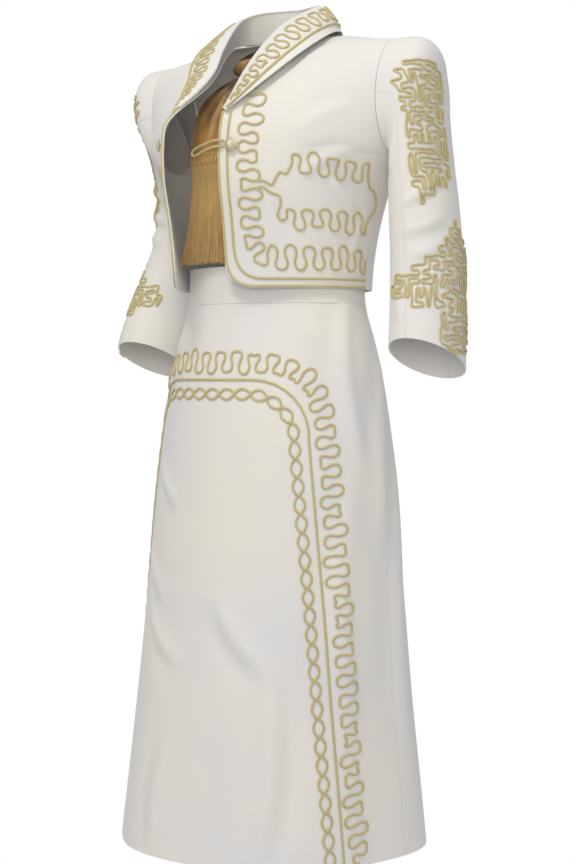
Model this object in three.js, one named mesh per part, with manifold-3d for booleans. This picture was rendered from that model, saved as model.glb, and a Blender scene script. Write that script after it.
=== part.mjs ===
// Mariachi suit for a woman: short bolero jacket with a shawl collar, long A-line
// skirt on a high waistband, and a satin tie with a long fringe. Millimetres, +Z up.
// The suit faces -Y, the wearer's left is +X, and the origin is the base of the
// neck, where the suit hangs from the shoulders that wear it.
import * as THREE from "three";
import { mergeVertices } from "three/addons/utils/BufferGeometryUtils.js";
import Module from "manifold-3d";

const wasm = await Module();
wasm.setup();

// ---------------------------------------------------------------- driving sizes
const SEAM_GAP = 0.3; // between two pieces that are sewn together
const JACKET_WALL = 2;
const SKIRT_WALL = 1.6;
const SATIN_WALL = 1.2;

const JACKET_HEM_Z = -383;
const FRONT_OVERHANG = 0; // a front's edge lies this far past the centre line
const FRONT_CORNER_RADIUS = 32;
const BREAK_Z = -133; // where the shawl collar's point meets the front edge
const NECK_POINT_SHARE = 0.25; // of the shoulder's width, where the collar leaves it
const NECK_CURVE = 0.85; // under 1 cuts the neck edge a little rounder
const NAPE_LEVEL = 0.87; // how far up the back panel the neck edge lies at the nape
const SIDE_SEAM_Y = 12;

const OPENED_DEGREES = { left: 1, right: 25 }; // how far each front hangs open
const OPENED_FROM_X = 168; // a front bends open from this distance off the centre
const OPENED_DEPTH_Y = -62;
const OPENED_FROM_Z = -55; // and below this height

const WAISTBAND_TOP_Z = -350;
const WAISTBAND_HEM_Z = -404;
const SKIRT_HEM_Z = -1189;

const CORD_WIDTH = 2.6; // gold soutache cord
const EDGE_INSET = 2.5; // the outer cord line, in from the front's edge
const PIPING_INSET = 17; // the inner cord line

const BUTTON_Z = -180;
const BUTTON_X = 24;

// Half outlines of the jacket by height: centre front, centre back and side seam.
const JACKET_ROWS = [
  { frontZ: -383, frontY: -124, backZ: -383, backY: 116, sideX: 148, sideZ: -383 },
  { frontZ: -340, frontY: -127, backZ: -340, backY: 115, sideX: 153, sideZ: -340 },
  { frontZ: -285, frontY: -134, backZ: -285, backY: 120, sideX: 163, sideZ: -290 },
  { frontZ: -230, frontY: -143, backZ: -230, backY: 130, sideX: 178, sideZ: -240 },
  { frontZ: -180, frontY: -144, backZ: -180, backY: 138, armhole: 0 },
  { frontZ: -143, frontY: -138, backZ: -135, backY: 138, armhole: 50 },
  { frontZ: -106, frontY: -124, backZ: -92, backY: 128, armhole: 92 },
  { frontZ: -70, frontY: -100, backZ: -52, backY: 112, armhole: 128 },
  { frontZ: -38, frontY: -64, backZ: -16, backY: 92, armhole: 154 },
  { frontZ: -14, frontY: -24, backZ: 6, backY: 60, armhole: 170 },
  { frontZ: -2, frontY: 12, backZ: -2, backY: 12, armhole: 180 },
];
// Sleeve rings from the armhole to the cuff. A ring spans from its inner point, by
// the body, to its outer point, and halfY to each side; drop slants it to the back.
const SLEEVE_RINGS = [
  { innerX: 200, innerZ: -194, outerX: 205, outerZ: -25, midY: 12, halfY: 58, drop: 0 },
  { innerX: 204, innerZ: -197, outerX: 245, outerZ: -28, midY: 12, halfY: 60, drop: 0 },
  { innerX: 206, innerZ: -203, outerX: 267, outerZ: -46, midY: 12, halfY: 62, drop: 0 },
  { innerX: 206, innerZ: -211, outerX: 273, outerZ: -86, midY: 13, halfY: 63, drop: 0 },
  { innerX: 204, innerZ: -221, outerX: 276, outerZ: -142, midY: 14, halfY: 63, drop: 0 },
  { innerX: 201, innerZ: -240, outerX: 282, outerZ: -202, midY: 16, halfY: 63, drop: 0 },
  { innerX: 199, innerZ: -276, outerX: 290, outerZ: -264, midY: 18, halfY: 62, drop: 0 },
  { innerX: 200, innerZ: -340, outerX: 298, outerZ: -336, midY: 18, halfY: 61, drop: 6 },
  { innerX: 204, innerZ: -410, outerX: 306, outerZ: -408, midY: 10, halfY: 61, drop: 16 },
  { innerX: 209, innerZ: -484, outerX: 313, outerZ: -484, midY: -2, halfY: 62, drop: 28 },
];
// The right arm is held a little further back at the elbow than the left.
const ELBOW_BACK = { left: 0, right: 76 };
const CUFF_IN = { left: 0, right: 14 };
const SEAM_TRIM = 0.0012; // taken off a panel's width at a seam, as a share of it

const SKIRT_ROWS = [
  { z: -350, halfX: 141, halfY: 107, midX: 0 },
  { z: -404, halfX: 143, halfY: 109, midX: 0 },
  { z: -455, halfX: 156, halfY: 120, midX: 0 },
  { z: -515, halfX: 170, halfY: 132, midX: 0 },
  { z: -588, halfX: 181, halfY: 143, midX: 0 },
  { z: -691, halfX: 192, halfY: 155, midX: -1 },
  { z: -838, halfX: 202, halfY: 171, midX: -3 },
  { z: -985, halfX: 212, halfY: 189, midX: -6 },
  { z: -1189, halfX: 231, halfY: 214, midX: -8 },
];
// Soft folds that fall down the skirt: where they are, from the centre front and
// positive to the wearer's left, and how deep and wide they are at the hem.
const SKIRT_FOLDS = [
  { degrees: -28, depth: 7, width: 13, topZ: -760 },
  { degrees: 9, depth: -5, width: 12, topZ: -800 },
  { degrees: 74, depth: -7, width: 13, topZ: -620 },
  { degrees: 104, depth: 8, width: 14, topZ: -660 },
  { degrees: 141, depth: -7, width: 13, topZ: -700 },
  { degrees: 176, depth: 8, width: 14, topZ: -640 },
  { degrees: -142, depth: -7, width: 13, topZ: -720 },
  { degrees: -104, depth: 8, width: 13, topZ: -680 },
  { degrees: -70, depth: -6, width: 13, topZ: -740 },
];
// The gold line that runs up, over and down the skirt's front, as an upside-down U.
const BORDER_TOP_Z = -514;
const BORDER_CORNER = 88;
const BORDER_LEG = { topZ: -600, topAcross: 167, hemAcross: 264 };
const BORDER_SHIFT = -30; // the skirt is worn turned a little to the right

// Shawl collar, from the centre back to its point on the front edge: the neck
// edge's level, the stand from there to the roll, and where the outer edge lies.
const COLLAR_STATIONS = [
  { panel: "back", neck: 0, standX: 0, standY: -6, standZ: 49, fallShare: 0, fallLevel: 0.765 },
  { panel: "back", neck: 0.11, standX: -3, standY: -5, standZ: 48, fallShare: 0.13, fallLevel: 0.785 },
  { panel: "back", neck: 0.2, standX: -7, standY: -3, standZ: 46, fallShare: 0.27, fallLevel: 0.87 },
  { panel: "front", neck: 0.985, standX: -12, standY: -2, standZ: 42, fallShare: 0.39, fallLevel: 0.985 },
  { panel: "front", neck: 0.87, standX: -14, standY: -10, standZ: 28, fallShare: 0.43, fallLevel: 0.82 },
  { panel: "front", neck: 0.77, standX: -11, standY: -12, standZ: 15, fallShare: 0.365, fallLevel: 0.71 },
  { panel: "front", neck: 0.68, standX: -8, standY: -8, standZ: 8, fallShare: 0.25, fallLevel: 0.635 },
  { panel: "front", neck: 0.605, standX: -5, standY: -5, standZ: 4, fallShare: 0.135, fallLevel: 0.575 },
  { panel: "front", neck: 0.54, standX: -3, standY: -3, standZ: 2, fallShare: 0.035, fallLevel: 0.53 },
];
const COLLAR_LIFT = 4.6; // the outer edge stands this far off the front
const NECK_LIFT = 0.9;
const ROLL_WIDTH = 7; // across the fold between the stand and the fall

const TIE = {
  bandRadiusX: 57,
  bandRadiusY: 56,
  bandHeight: 12,
  knotZ: -58,
  bodyHemZ: -186,
  headingHeight: 16,
  fringeLength: 146,
  halfWidth: 67,
  locks: 54,
  lockFlare: 30, // how far the right-hand locks spread at their ends
};

// ------------------------------------------------------------------- materials
const cloth = (name, color, roughness, metalness = 0) =>
  new THREE.MeshStandardMaterial({ name, color, roughness, metalness });
const IVORY = cloth("ivory_gabardine", 0xeae6e2, 0.85);
const GOLD_CORD = cloth("gold_cord", 0xc4b878, 0.45, 0.3);
const BRONZE_SATIN = cloth("bronze_satin", 0x9a774a, 0.38);
const GOLD_FRINGE = cloth("gold_fringe", 0xae8240, 0.5);
const BRASS = cloth("button_metal", 0xcabf94, 0.3, 0.9);

// ------------------------------------------------------------------- numbers
const radians = THREE.MathUtils.degToRad;
const lerp = THREE.MathUtils.lerp;
const clamp = THREE.MathUtils.clamp;
const smooth = (from, to, x) => {
  const t = clamp((x - from) / (to - from), 0, 1);
  return t * t * (3 - 2 * t);
};
const vec = (x, y, z) => new THREE.Vector3(x, y, z);

// A smooth value through a table's rows, at a share t of the way down it.
function alongRows(values, t) {
  const last = values.length - 1;
  const at = clamp(t, 0, 1) * last;
  const i = Math.min(Math.floor(at), last - 1);
  const f = at - i;
  const p = (k) => values[clamp(k, 0, last)];
  const before = i === 0 ? 2 * p(0) - p(1) : p(i - 1);
  const after = i === last - 1 ? 2 * p(last) - p(last - 1) : p(i + 2);
  const a = p(i);
  const b = p(i + 1);
  const slopeA = (b - before) / 2;
  const slopeB = (after - a) / 2;
  return (
    (2 * f ** 3 - 3 * f ** 2 + 1) * a +
    (f ** 3 - 2 * f ** 2 + f) * slopeA +
    (-2 * f ** 3 + 3 * f ** 2) * b +
    (f ** 3 - f ** 2) * slopeB
  );
}
// The share down a table at which a rising or falling column reaches a value.
function shareOf(values, value) {
  let low = 0;
  let high = 1;
  const rising = values[values.length - 1] > values[0];
  for (let k = 0; k < 40; k++) {
    const mid = (low + high) / 2;
    if (alongRows(values, mid) < value === rising) low = mid;
    else high = mid;
  }
  return (low + high) / 2;
}

// -------------------------------------------------------------- cloth as a wall
// A closed wall: outer(u, v) is its outer face for u and v from 0 to 1, and the
// inner face lies one thickness behind it, on the side of the point inside.
function wall(outer, uSteps, vSteps, thickness, { ring = false, inside } = {}) {
  const points = [];
  const normal = (u, v) => {
    const step = 1e-3;
    const inRange = (s) => (ring ? s : clamp(s, 0, 1));
    const du = outer(inRange(u + step), v).sub(outer(inRange(u - step), v));
    const dv = outer(u, clamp(v + step, 0, 1)).sub(outer(u, clamp(v - step, 0, 1)));
    return du.cross(dv).normalize();
  };
  const middle = outer(0.5, 0.5);
  const within = inside ?? vec(0, 0, middle.z);
  const facesIn = normal(0.5, 0.5).dot(middle.sub(within)) < 0;
  const inwards = facesIn ? thickness : -thickness;
  const columns = ring ? uSteps : uSteps + 1;
  const grid = [];
  for (let side = 0; side < 2; side++)
    for (let j = 0; j <= vSteps.length - 1; j++)
      for (let i = 0; i < columns; i++) {
        const u = i / uSteps;
        const v = vSteps[j];
        const p = outer(u, v);
        if (side) p.addScaledVector(normal(u, v), inwards);
        grid.push(p);
      }
  for (const p of grid) points.push(p.x, p.y, p.z);
  const rows = vSteps.length;
  const at = (side, i, j) => side * rows * columns + j * columns + (i % columns);
  const faces = [];
  const quad = (a, b, c, d) => faces.push(a, b, c, a, c, d);
  for (let j = 0; j < rows - 1; j++)
    for (let i = 0; i < (ring ? columns : columns - 1); i++) {
      quad(at(0, i, j), at(0, i + 1, j), at(0, i + 1, j + 1), at(0, i, j + 1));
      quad(at(1, i, j), at(1, i, j + 1), at(1, i + 1, j + 1), at(1, i + 1, j));
    }
  for (let i = 0; i < (ring ? columns : columns - 1); i++) {
    quad(at(0, i, 0), at(1, i, 0), at(1, i + 1, 0), at(0, i + 1, 0));
    quad(at(0, i, rows - 1), at(0, i + 1, rows - 1), at(1, i + 1, rows - 1), at(1, i, rows - 1));
  }
  if (!ring)
    for (let j = 0; j < rows - 1; j++) {
      quad(at(0, 0, j), at(0, 0, j + 1), at(1, 0, j + 1), at(1, 0, j));
      const k = columns - 1;
      quad(at(0, k, j), at(1, k, j), at(1, k, j + 1), at(0, k, j + 1));
    }
  return facingOut(points, faces);
}
// A geometry from points and faces, turned so that its faces point out.
function facingOut(points, faces) {
  let volume = 0;
  const p = (k) => vec(points[3 * k], points[3 * k + 1], points[3 * k + 2]);
  for (let k = 0; k < faces.length; k += 3)
    volume += p(faces[k]).dot(p(faces[k + 1]).cross(p(faces[k + 2])));
  if (volume < 0)
    for (let k = 0; k < faces.length; k += 3)
      [faces[k + 1], faces[k + 2]] = [faces[k + 2], faces[k + 1]];
  const g = new THREE.BufferGeometry();
  g.setAttribute("position", new THREE.BufferAttribute(new Float32Array(points), 3));
  g.setIndex(faces);
  g.computeVertexNormals();
  return g;
}
const evenly = (count) => Array.from({ length: count + 1 }, (_, k) => k / count);

const suit = new THREE.Group();
suit.name = "mariachi_suit";
function add(name, geometry, material) {
  const mesh = new THREE.Mesh(geometry, material);
  mesh.name = name;
  suit.add(mesh);
  return mesh;
}

// ------------------------------------------------------------- jacket surfaces
// One sleeve ring, at a share t from armhole to cuff; angle 0 is the inner point,
// 90 degrees the front and 180 the outer point.
function sleeveRing(t, degrees, side) {
  const of = (key) => alongRows(SLEEVE_RINGS.map((row) => row[key]), t);
  const name = side > 0 ? "left" : "right";
  const angle = radians(degrees);
  const across = (1 - Math.cos(angle)) / 2;
  const ahead = Math.sin(angle);
  const bend = Math.sin(Math.PI * t ** 1.3) ** 2 + 0.2 * smooth(0.5, 1, t);
  const inwards = CUFF_IN[name] * smooth(0.45, 1, t);
  const x = lerp(of("innerX"), of("outerX"), across) - inwards;
  const z = lerp(of("innerZ"), of("outerZ"), across) + of("drop") * ahead;
  const y = of("midY") + ELBOW_BACK[name] * bend - of("halfY") * ahead;
  return vec(side * x, y, z);
}
const armhole = (degrees) => sleeveRing(0, degrees, 1);

// The jacket's body: share 0 is the centre line and 1 the side seam or armhole,
// level 0 is the hem and 1 the shoulder seam. The wearer's left, fronts closed.
const SEAM_ROWS = JACKET_ROWS.filter((r) => r.armhole === undefined);
const ARMHOLE_ROWS = JACKET_ROWS.slice(SEAM_ROWS.length);
const UNDERARM_LEVEL = SEAM_ROWS.length / (JACKET_ROWS.length - 1);
// The end of a row on the side seam, or on the armhole's front or back half.
function sideEnd(half, level) {
  if (level >= UNDERARM_LEVEL) {
    const t = (level - UNDERARM_LEVEL) / (1 - UNDERARM_LEVEL);
    const p = armhole(half * alongRows(ARMHOLE_ROWS.map((r) => r.armhole), t));
    return vec(p.x - SEAM_GAP, p.y, p.z);
  }
  const t = level / UNDERARM_LEVEL;
  const under = armhole(0);
  const x = alongRows([...SEAM_ROWS.map((r) => r.sideX), under.x - SEAM_GAP], t);
  const z = alongRows([...SEAM_ROWS.map((r) => r.sideZ), under.z], t);
  return vec(x, SIDE_SEAM_Y, z);
}
function jacketBody(panel, share, level) {
  const front = panel === "front";
  const y = alongRows(JACKET_ROWS.map((r) => (front ? r.frontY : r.backY)), level);
  const z = alongRows(JACKET_ROWS.map((r) => (front ? r.frontZ : r.backZ)), level);
  const side = sideEnd(front ? 1 : -1, level);
  // The cloth meets the side seam square to it, and the armhole more and more flatly.
  const turn = radians(lerp(90, 12, smooth(0.38, 0.78, level)));
  const reach = Math.abs(side.y - y);
  const roundness = 0.5523;
  const pull = lerp(roundness * reach, 44, smooth(0.38, 0.78, level));
  const forward = front ? -1 : 1;
  const p1 = vec(side.x * roundness, y, lerp(z, side.z, 0.1));
  const p2 = vec(
    side.x - pull * Math.cos(turn),
    side.y + forward * pull * Math.sin(turn),
    lerp(side.z, z, 0.12),
  );
  const q = share;
  const r = 1 - q;
  return vec(0, y, z)
    .multiplyScalar(r ** 3)
    .addScaledVector(p1, 3 * r * r * q)
    .addScaledVector(p2, 3 * r * q * q)
    .addScaledVector(side, q ** 3);
}
const FRONT_LEVELS = JACKET_ROWS.map((r) => r.frontZ);
const SHARE_WIDTH = 160; // millimetres across a front that one share stands for, low down
const levelAt = (z) => shareOf(FRONT_LEVELS, z);
const BREAK_LEVEL = levelAt(BREAK_Z);

// The place on a closed left front at a given x and z, closed in on step by step.
function chestShare(x, z) {
  let share = x / SHARE_WIDTH;
  let level = levelAt(z);
  for (let k = 0; k < 8; k++) {
    const p = jacketBody("front", share, level);
    share += (x - p.x) / (1.25 * SHARE_WIDTH);
    level = clamp(level + (z - p.z) / (3 * SHARE_WIDTH), 0, 1);
  }
  return { share, level };
}
// Bends one front open about an upright line near the side, more towards its edge.
function opened(p, side) {
  const across = side * p.x;
  const bend = clamp((OPENED_FROM_X - across) / OPENED_FROM_X, 0, 1.2);
  const ahead = smooth(OPENED_DEPTH_Y / 2, OPENED_DEPTH_Y, p.y);
  if (bend <= 0 || ahead <= 0) return p;
  const low = smooth(OPENED_FROM_Z, BREAK_Z - 27, p.z);
  const turned = bend * low * ahead;
  const angle = radians(OPENED_DEGREES[side > 0 ? "left" : "right"]) * turned;
  const fromX = across - OPENED_FROM_X;
  const fromY = p.y - OPENED_DEPTH_Y;
  const x = OPENED_FROM_X + fromX * Math.cos(angle) - fromY * Math.sin(angle);
  const y = OPENED_DEPTH_Y + fromY * Math.cos(angle) + fromX * Math.sin(angle);
  return vec(side * x, y, p.z);
}
// A point of the jacket as worn, moved out from the cloth by lift.
function onJacket(panel, share, level, lift, side) {
  const at = (s, l) => {
    const p = jacketBody(panel, s, Math.min(l, 1));
    return opened(vec(side * p.x, p.y, p.z), side);
  };
  const p = at(share, level);
  if (!lift) return p;
  const step = 1e-3;
  const along = at(share + step, level).sub(at(share - step, level));
  const up = at(share, level + step).sub(at(share, level - step));
  const outward = along.cross(up).normalize();
  const facing = (panel === "front" ? 1 : -1) * side;
  return p.addScaledVector(outward, facing * lift);
}
const onChest = (share, level, lift, side) => onJacket("front", share, level, lift, side);

// The front edge: up from the rounded hem corner, then in along the neck.
function frontEdge(level) {
  const z = alongRows(FRONT_LEVELS, level);
  const rise = z - JACKET_HEM_Z;
  const r = FRONT_CORNER_RADIUS;
  const corner = rise < r ? r - Math.sqrt(r * r - (r - rise) ** 2) : 0;
  const straight = (corner - FRONT_OVERHANG) / SHARE_WIDTH;
  const neck = Math.max(level - BREAK_LEVEL, 0) / (1 - BREAK_LEVEL);
  return straight + neck ** NECK_CURVE * (NECK_POINT_SHARE + FRONT_OVERHANG / SHARE_WIDTH);
}

const SHOULDER_LEVEL = 0.9993; // leaves the seam between the fronts and the back
const CORNER_LEVELS = [0, 0.0035, 0.011, 0.025, 0.05, 0.08];
const FRONT_STEPS = [
  ...CORNER_LEVELS,
  0.14, 0.21, 0.28, 0.35, 0.41, 0.46, 0.5, 0.55, 0.63, 0.71, 0.79, 0.87, 0.94, SHOULDER_LEVEL,
];
function jacketFront(side) {
  return wall(
    (u, v) => onChest(lerp(frontEdge(v), 1 - SEAM_TRIM, u), v, 0, side),
    12,
    FRONT_STEPS,
    JACKET_WALL,
  );
}
// The back is cut down at the neck between the two shoulder seams.
function neckLevel(share) {
  const s = clamp(Math.abs(share) / NECK_POINT_SHARE, 0, 1);
  return lerp(NAPE_LEVEL, SHOULDER_LEVEL, s ** 2.2);
}
function jacketBack() {
  return wall(
    (u, v) => {
      const share = 2 * u - 1;
      const side = share < 0 ? -1 : 1;
      const p = jacketBody("back", Math.abs(share) * (1 - SEAM_TRIM), v * neckLevel(share));
      return vec(side * p.x, p.y, p.z);
    },
    22,
    evenly(12),
    JACKET_WALL,
  );
}
add("jacket_back", jacketBack(), IVORY);
for (const [name, side] of [["left", 1], ["right", -1]])
  add("jacket_front_" + name, jacketFront(side), IVORY);

// --------------------------------------------------------------------- sleeves
const SEAM_DEGREES = 90; // both sleeve seams, from the inner point
const SLEEVE_SEAM_TRIM = 0.16;
function sleeve(side, from, to, steps) {
  return wall(
    (u, v) => {
      const degrees = lerp(from + SLEEVE_SEAM_TRIM, to - SLEEVE_SEAM_TRIM, u);
      const p = sleeveRing(v, degrees, side);
      p.x += side * SEAM_GAP * (1 - v);
      return p;
    },
    steps,
    [0, 0.04, 0.09, 0.16, 0.24, 0.33, 0.43, 0.54, 0.66, 0.78, 0.89, 1],
    JACKET_WALL,
    { inside: sleeveRing(0.5, 0, side).lerp(sleeveRing(0.5, 180, side), 0.5) },
  );
}
for (const [name, side] of [["left", 1], ["right", -1]]) {
  add("sleeve_top_" + name, sleeve(side, SEAM_DEGREES, 360 - SEAM_DEGREES, 12), IVORY);
  add("sleeve_under_" + name, sleeve(side, -SEAM_DEGREES, SEAM_DEGREES, 9), IVORY);
}

// ---------------------------------------------------------------------- collar
// A collar point: across 0 is the neck edge, 0.3 the roll and 1 the outer edge;
// along runs from 0 at the centre back to 1 at the collar's point.
const ROLL_ACROSS = 0.3;
function collarStation(station, side) {
  const back = station.panel === "back";
  const share = back ? station.neck : frontEdge(station.neck) + 0.006;
  const level = back ? neckLevel(station.neck) : station.neck;
  const neck = onJacket(station.panel, share, level, NECK_LIFT, side);
  const roll = neck.clone().add(vec(side * station.standX, station.standY, station.standZ));
  const edge = onJacket(station.panel, station.fallShare, station.fallLevel, COLLAR_LIFT, side);
  return { neck, roll, edge };
}
const COLLAR = new Map(
  [1, -1].map((side) => [side, COLLAR_STATIONS.map((s) => collarStation(s, side))]),
);
function collarPoint(along, across, side) {
  const stations = COLLAR.get(side);
  const of = (key) =>
    vec(...["x", "y", "z"].map((axis) => alongRows(stations.map((s) => s[key][axis]), along)));
  const neck = of("neck");
  const roll = of("roll");
  const edge = of("edge");
  const outward = edge.clone().sub(neck).setZ(0).normalize();
  const taper = smooth(1.06, 0.8, along);
  const fold = roll.clone().addScaledVector(outward, ROLL_WIDTH * taper);
  let p;
  if (across < ROLL_ACROSS) p = neck.clone().lerp(roll, across / ROLL_ACROSS);
  else {
    const t = (across - ROLL_ACROSS) / (1 - ROLL_ACROSS);
    const crown = Math.sin(Math.PI * Math.min(t / 0.16, 1) * 0.5);
    p = roll.clone().lerp(fold, crown).lerp(edge, smooth(-0.25, 1.25, t) * t ** 0.2);
    p.z += 3 * taper * Math.sin(Math.PI * clamp(t * 1.1, 0, 1));
    p.addScaledVector(outward, 2.5 * taper * Math.sin(Math.PI * t));
  }
  return p;
}
const COLLAR_ACROSS = [0, 0.16, 0.3, 0.36, 0.42, 0.55, 0.7, 0.85, 1];
function collar() {
  const halfSteps = 15;
  return wall(
    (u, v) => {
      const along = Math.abs(2 * u - 1);
      return collarPoint(along, v, u < 0.5 ? 1 : -1);
    },
    2 * halfSteps,
    COLLAR_ACROSS,
    JACKET_WALL,
  );
}
add("shawl_collar", collar(), IVORY);

// ----------------------------------------------------------------------- skirt
function skirtPoint(degrees, z, lift = 0) {
  const heights = SKIRT_ROWS.map((r) => r.z);
  const t = shareOf(heights, z);
  const turn = radians(degrees);
  let rx = alongRows(SKIRT_ROWS.map((r) => r.halfX), t) + lift;
  let ry = alongRows(SKIRT_ROWS.map((r) => r.halfY), t) + lift;
  for (const fold of SKIRT_FOLDS) {
    const off = ((degrees - fold.degrees + 540) % 360) - 180;
    const deep = fold.depth * smooth(fold.topZ, SKIRT_HEM_Z, z);
    rx += deep * Math.exp(-((off / fold.width) ** 2));
    ry += deep * Math.exp(-((off / fold.width) ** 2));
  }
  const midX = alongRows(SKIRT_ROWS.map((r) => r.midX), t);
  return vec(midX + rx * Math.sin(turn), -ry * Math.cos(turn), z);
}
const SIDE_TRIM_DEGREES = 0.06;
function skirtPanel(from, to, topZ, hemZ, steps, rows, thickness) {
  return wall(
    (u, v) =>
      skirtPoint(lerp(from + SIDE_TRIM_DEGREES, to - SIDE_TRIM_DEGREES, u), lerp(topZ, hemZ, v)),
    steps,
    rows,
    thickness,
  );
}
const SKIRT_STEPS = [0, 0.04, 0.09, 0.16, 0.24, 0.34, 0.46, 0.59, 0.73, 0.87, 1];
const SKIRT_COLUMNS = 28; // to a panel
const skirtTop = WAISTBAND_HEM_Z - SEAM_GAP;
for (const [name, from] of [["front", -90], ["back", 90]]) {
  const panel = [from, from + 180, skirtTop, SKIRT_HEM_Z];
  add("skirt_" + name, skirtPanel(...panel, SKIRT_COLUMNS, SKIRT_STEPS, SKIRT_WALL), IVORY);
}
const band = [-180, 180, WAISTBAND_TOP_Z, WAISTBAND_HEM_Z];
add("skirt_waistband", skirtPanel(...band, 2 * SKIRT_COLUMNS, evenly(2), JACKET_WALL), IVORY);

// ------------------------------------------------------------------ gold cords
// A cord along points that already lie its own half width off the cloth.
function cord(points, width, steps, sides = 5) {
  const section = new THREE.Shape();
  for (let k = 0; k < sides; k++) {
    const turn = (2 * Math.PI * k) / sides;
    const x = (width / 2) * Math.cos(turn);
    const y = (width / 2) * Math.sin(turn);
    if (k) section.lineTo(x, y);
    else section.moveTo(x, y);
  }
  const path = new THREE.CatmullRomCurve3(points, false, "centripetal");
  return new THREE.ExtrudeGeometry(section, { steps, extrudePath: path, bevelEnabled: false });
}
const CORD_LIFT = CORD_WIDTH / 2 + 0.7;
const LINE_END_SHARE = 0.985; // a front's lines end just before the side seam
const LINE_ROUNDER = 14; // added to the corner's radius
const LINE_BELOW_COLLAR = 14;

// The line beside a front's edge: up from the side seam along the hem, round the
// corner and up to the collar, always the same distance in from the edge.
function frontLine(inset, side) {
  const radius = FRONT_CORNER_RADIUS + LINE_ROUNDER;
  const left = inset - FRONT_OVERHANG;
  const low = JACKET_HEM_Z + inset;
  const points = [];
  for (let k = 0; k <= 9; k++) {
    const share = lerp(LINE_END_SHARE, (left + radius) / SHARE_WIDTH, k / 9);
    points.push(onChest(share, levelAt(low), CORD_LIFT, side));
  }
  for (let k = 1; k <= 5; k++) {
    const turn = (Math.PI / 2) * (k / 5);
    const x = left + radius - radius * Math.sin(turn);
    const z = low + radius - radius * Math.cos(turn);
    const at = chestShare(x, z);
    points.push(onChest(at.share, at.level, CORD_LIFT, side));
  }
  const top = BREAK_Z - LINE_BELOW_COLLAR;
  const uprightPoints = 18;
  for (let k = 1; k <= uprightPoints; k++) {
    const at = chestShare(left, lerp(low + radius, top, k / uprightPoints));
    points.push(onChest(at.share, at.level, CORD_LIFT, side));
  }
  return points;
}
for (const [name, side] of [["left", 1], ["right", -1]]) {
  add("edge_cord_" + name, cord(frontLine(EDGE_INSET, side), CORD_WIDTH, 46, 4), GOLD_CORD);
  add("inner_cord_" + name, cord(frontLine(PIPING_INSET, side), CORD_WIDTH, 46, 4), GOLD_CORD);
}

// Degrees round the skirt at a distance across the cloth from the centre front.
function skirtDegrees(across, z) {
  const step = 1;
  let degrees = 0;
  let gone = 0;
  while (gone < Math.abs(across)) {
    const next = skirtPoint(degrees + step, z).distanceTo(skirtPoint(degrees, z));
    if (gone + next > Math.abs(across)) {
      degrees += (step * (Math.abs(across) - gone)) / next;
      break;
    }
    gone += next;
    degrees += step;
  }
  return Math.sign(across) * degrees;
}
function skirtBorder() {
  const half = [];
  const legAcross = (z) => {
    const up = clamp((z - SKIRT_HEM_Z) / (BORDER_LEG.topZ - SKIRT_HEM_Z), 0, 1.2);
    return lerp(BORDER_LEG.hemAcross, BORDER_LEG.topAcross, up);
  };
  const topZ = BORDER_TOP_Z;
  const cornerZ = topZ - BORDER_CORNER;
  for (let k = 0; k <= 12; k++) {
    const z = lerp(SKIRT_HEM_Z + 3, cornerZ, k / 12);
    half.push([legAcross(z), z]);
  }
  const cornerX = legAcross(cornerZ) - BORDER_CORNER;
  for (let k = 1; k <= 6; k++) {
    const turn = (Math.PI / 2) * (k / 6);
    half.push([
      cornerX + BORDER_CORNER * Math.cos(turn),
      cornerZ + BORDER_CORNER * Math.sin(turn),
    ]);
  }
  half.push([cornerX / 2, topZ]);
  const all = [...half, [0, topZ], ...half.map(([x, z]) => [-x, z]).reverse()];
  return all.map(([x, z]) => skirtPoint(skirtDegrees(x + BORDER_SHIFT, z), z, CORD_LIFT));
}
add("skirt_border_cord", cord(skirtBorder(), CORD_WIDTH, 96, 4), GOLD_CORD);

// -------------------------------------------------------- button and its loop
const BUTTON_PROFILE = [
  [0, 0], [2.6, 0], [2.6, 3.9], [7.4, 4.1], [9.5, 5], [8.7, 6.9], [5.4, 8.9], [0, 9.6],
];
function button(name, side) {
  const profile = BUTTON_PROFILE.map(([r, h]) => new THREE.Vector2(r, h));
  const mesh = add("button_" + name, new THREE.LatheGeometry(profile, 14), BRASS);
  const at = chestShare(BUTTON_X, BUTTON_Z);
  const foot = onChest(at.share, at.level, 0.6, side);
  const out = onChest(at.share, at.level, 10, side).sub(foot).normalize();
  mesh.position.copy(foot);
  mesh.quaternion.setFromUnitVectors(vec(0, 1, 0), out);
}
button("left", 1);
button("right", -1);

// The loop runs from under the left button out over the edge, and back.
const LOOP_STOPS = [
  { x: 12, z: -174, lift: 1.85 },
  { x: 3, z: -174, lift: 6 },
  { x: -6, z: -175, lift: 6 },
  { x: -18, z: -178, lift: 5 },
  { x: -34, z: -182, lift: 3 },
  { x: -42, z: -187, lift: 2.5 },
  { x: -40, z: -192, lift: 2.5 },
  { x: -32, z: -191, lift: 3 },
  { x: -16, z: -186, lift: 5 },
  { x: -5, z: -183.5, lift: 6 },
  { x: 3, z: -182.5, lift: 6 },
  { x: 12, z: -182, lift: 1.85 },
];
function buttonLoop() {
  return LOOP_STOPS.map((stop) => {
    const at = chestShare(stop.x, stop.z);
    return onChest(at.share, at.level, stop.lift, 1);
  });
}
const LOOP_WIDTH = 3;
add("button_loop", cord(buttonLoop(), LOOP_WIDTH, 34, 5), GOLD_CORD);

// ------------------------------------------------------------------------- tie
function tieBand() {
  return wall(
    (u, v) => {
      const turn = 2 * Math.PI * u;
      const y = -TIE.bandRadiusY * Math.cos(turn);
      const slope = lerp(4, -50, (1 + Math.cos(turn)) / 2);
      return vec(TIE.bandRadiusX * Math.sin(turn), y, slope - TIE.bandHeight * v);
    },
    32,
    evenly(1),
    SATIN_WALL,
    { ring: true },
  );
}
add("tie_neckband", tieBand(), BRONZE_SATIN);

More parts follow.
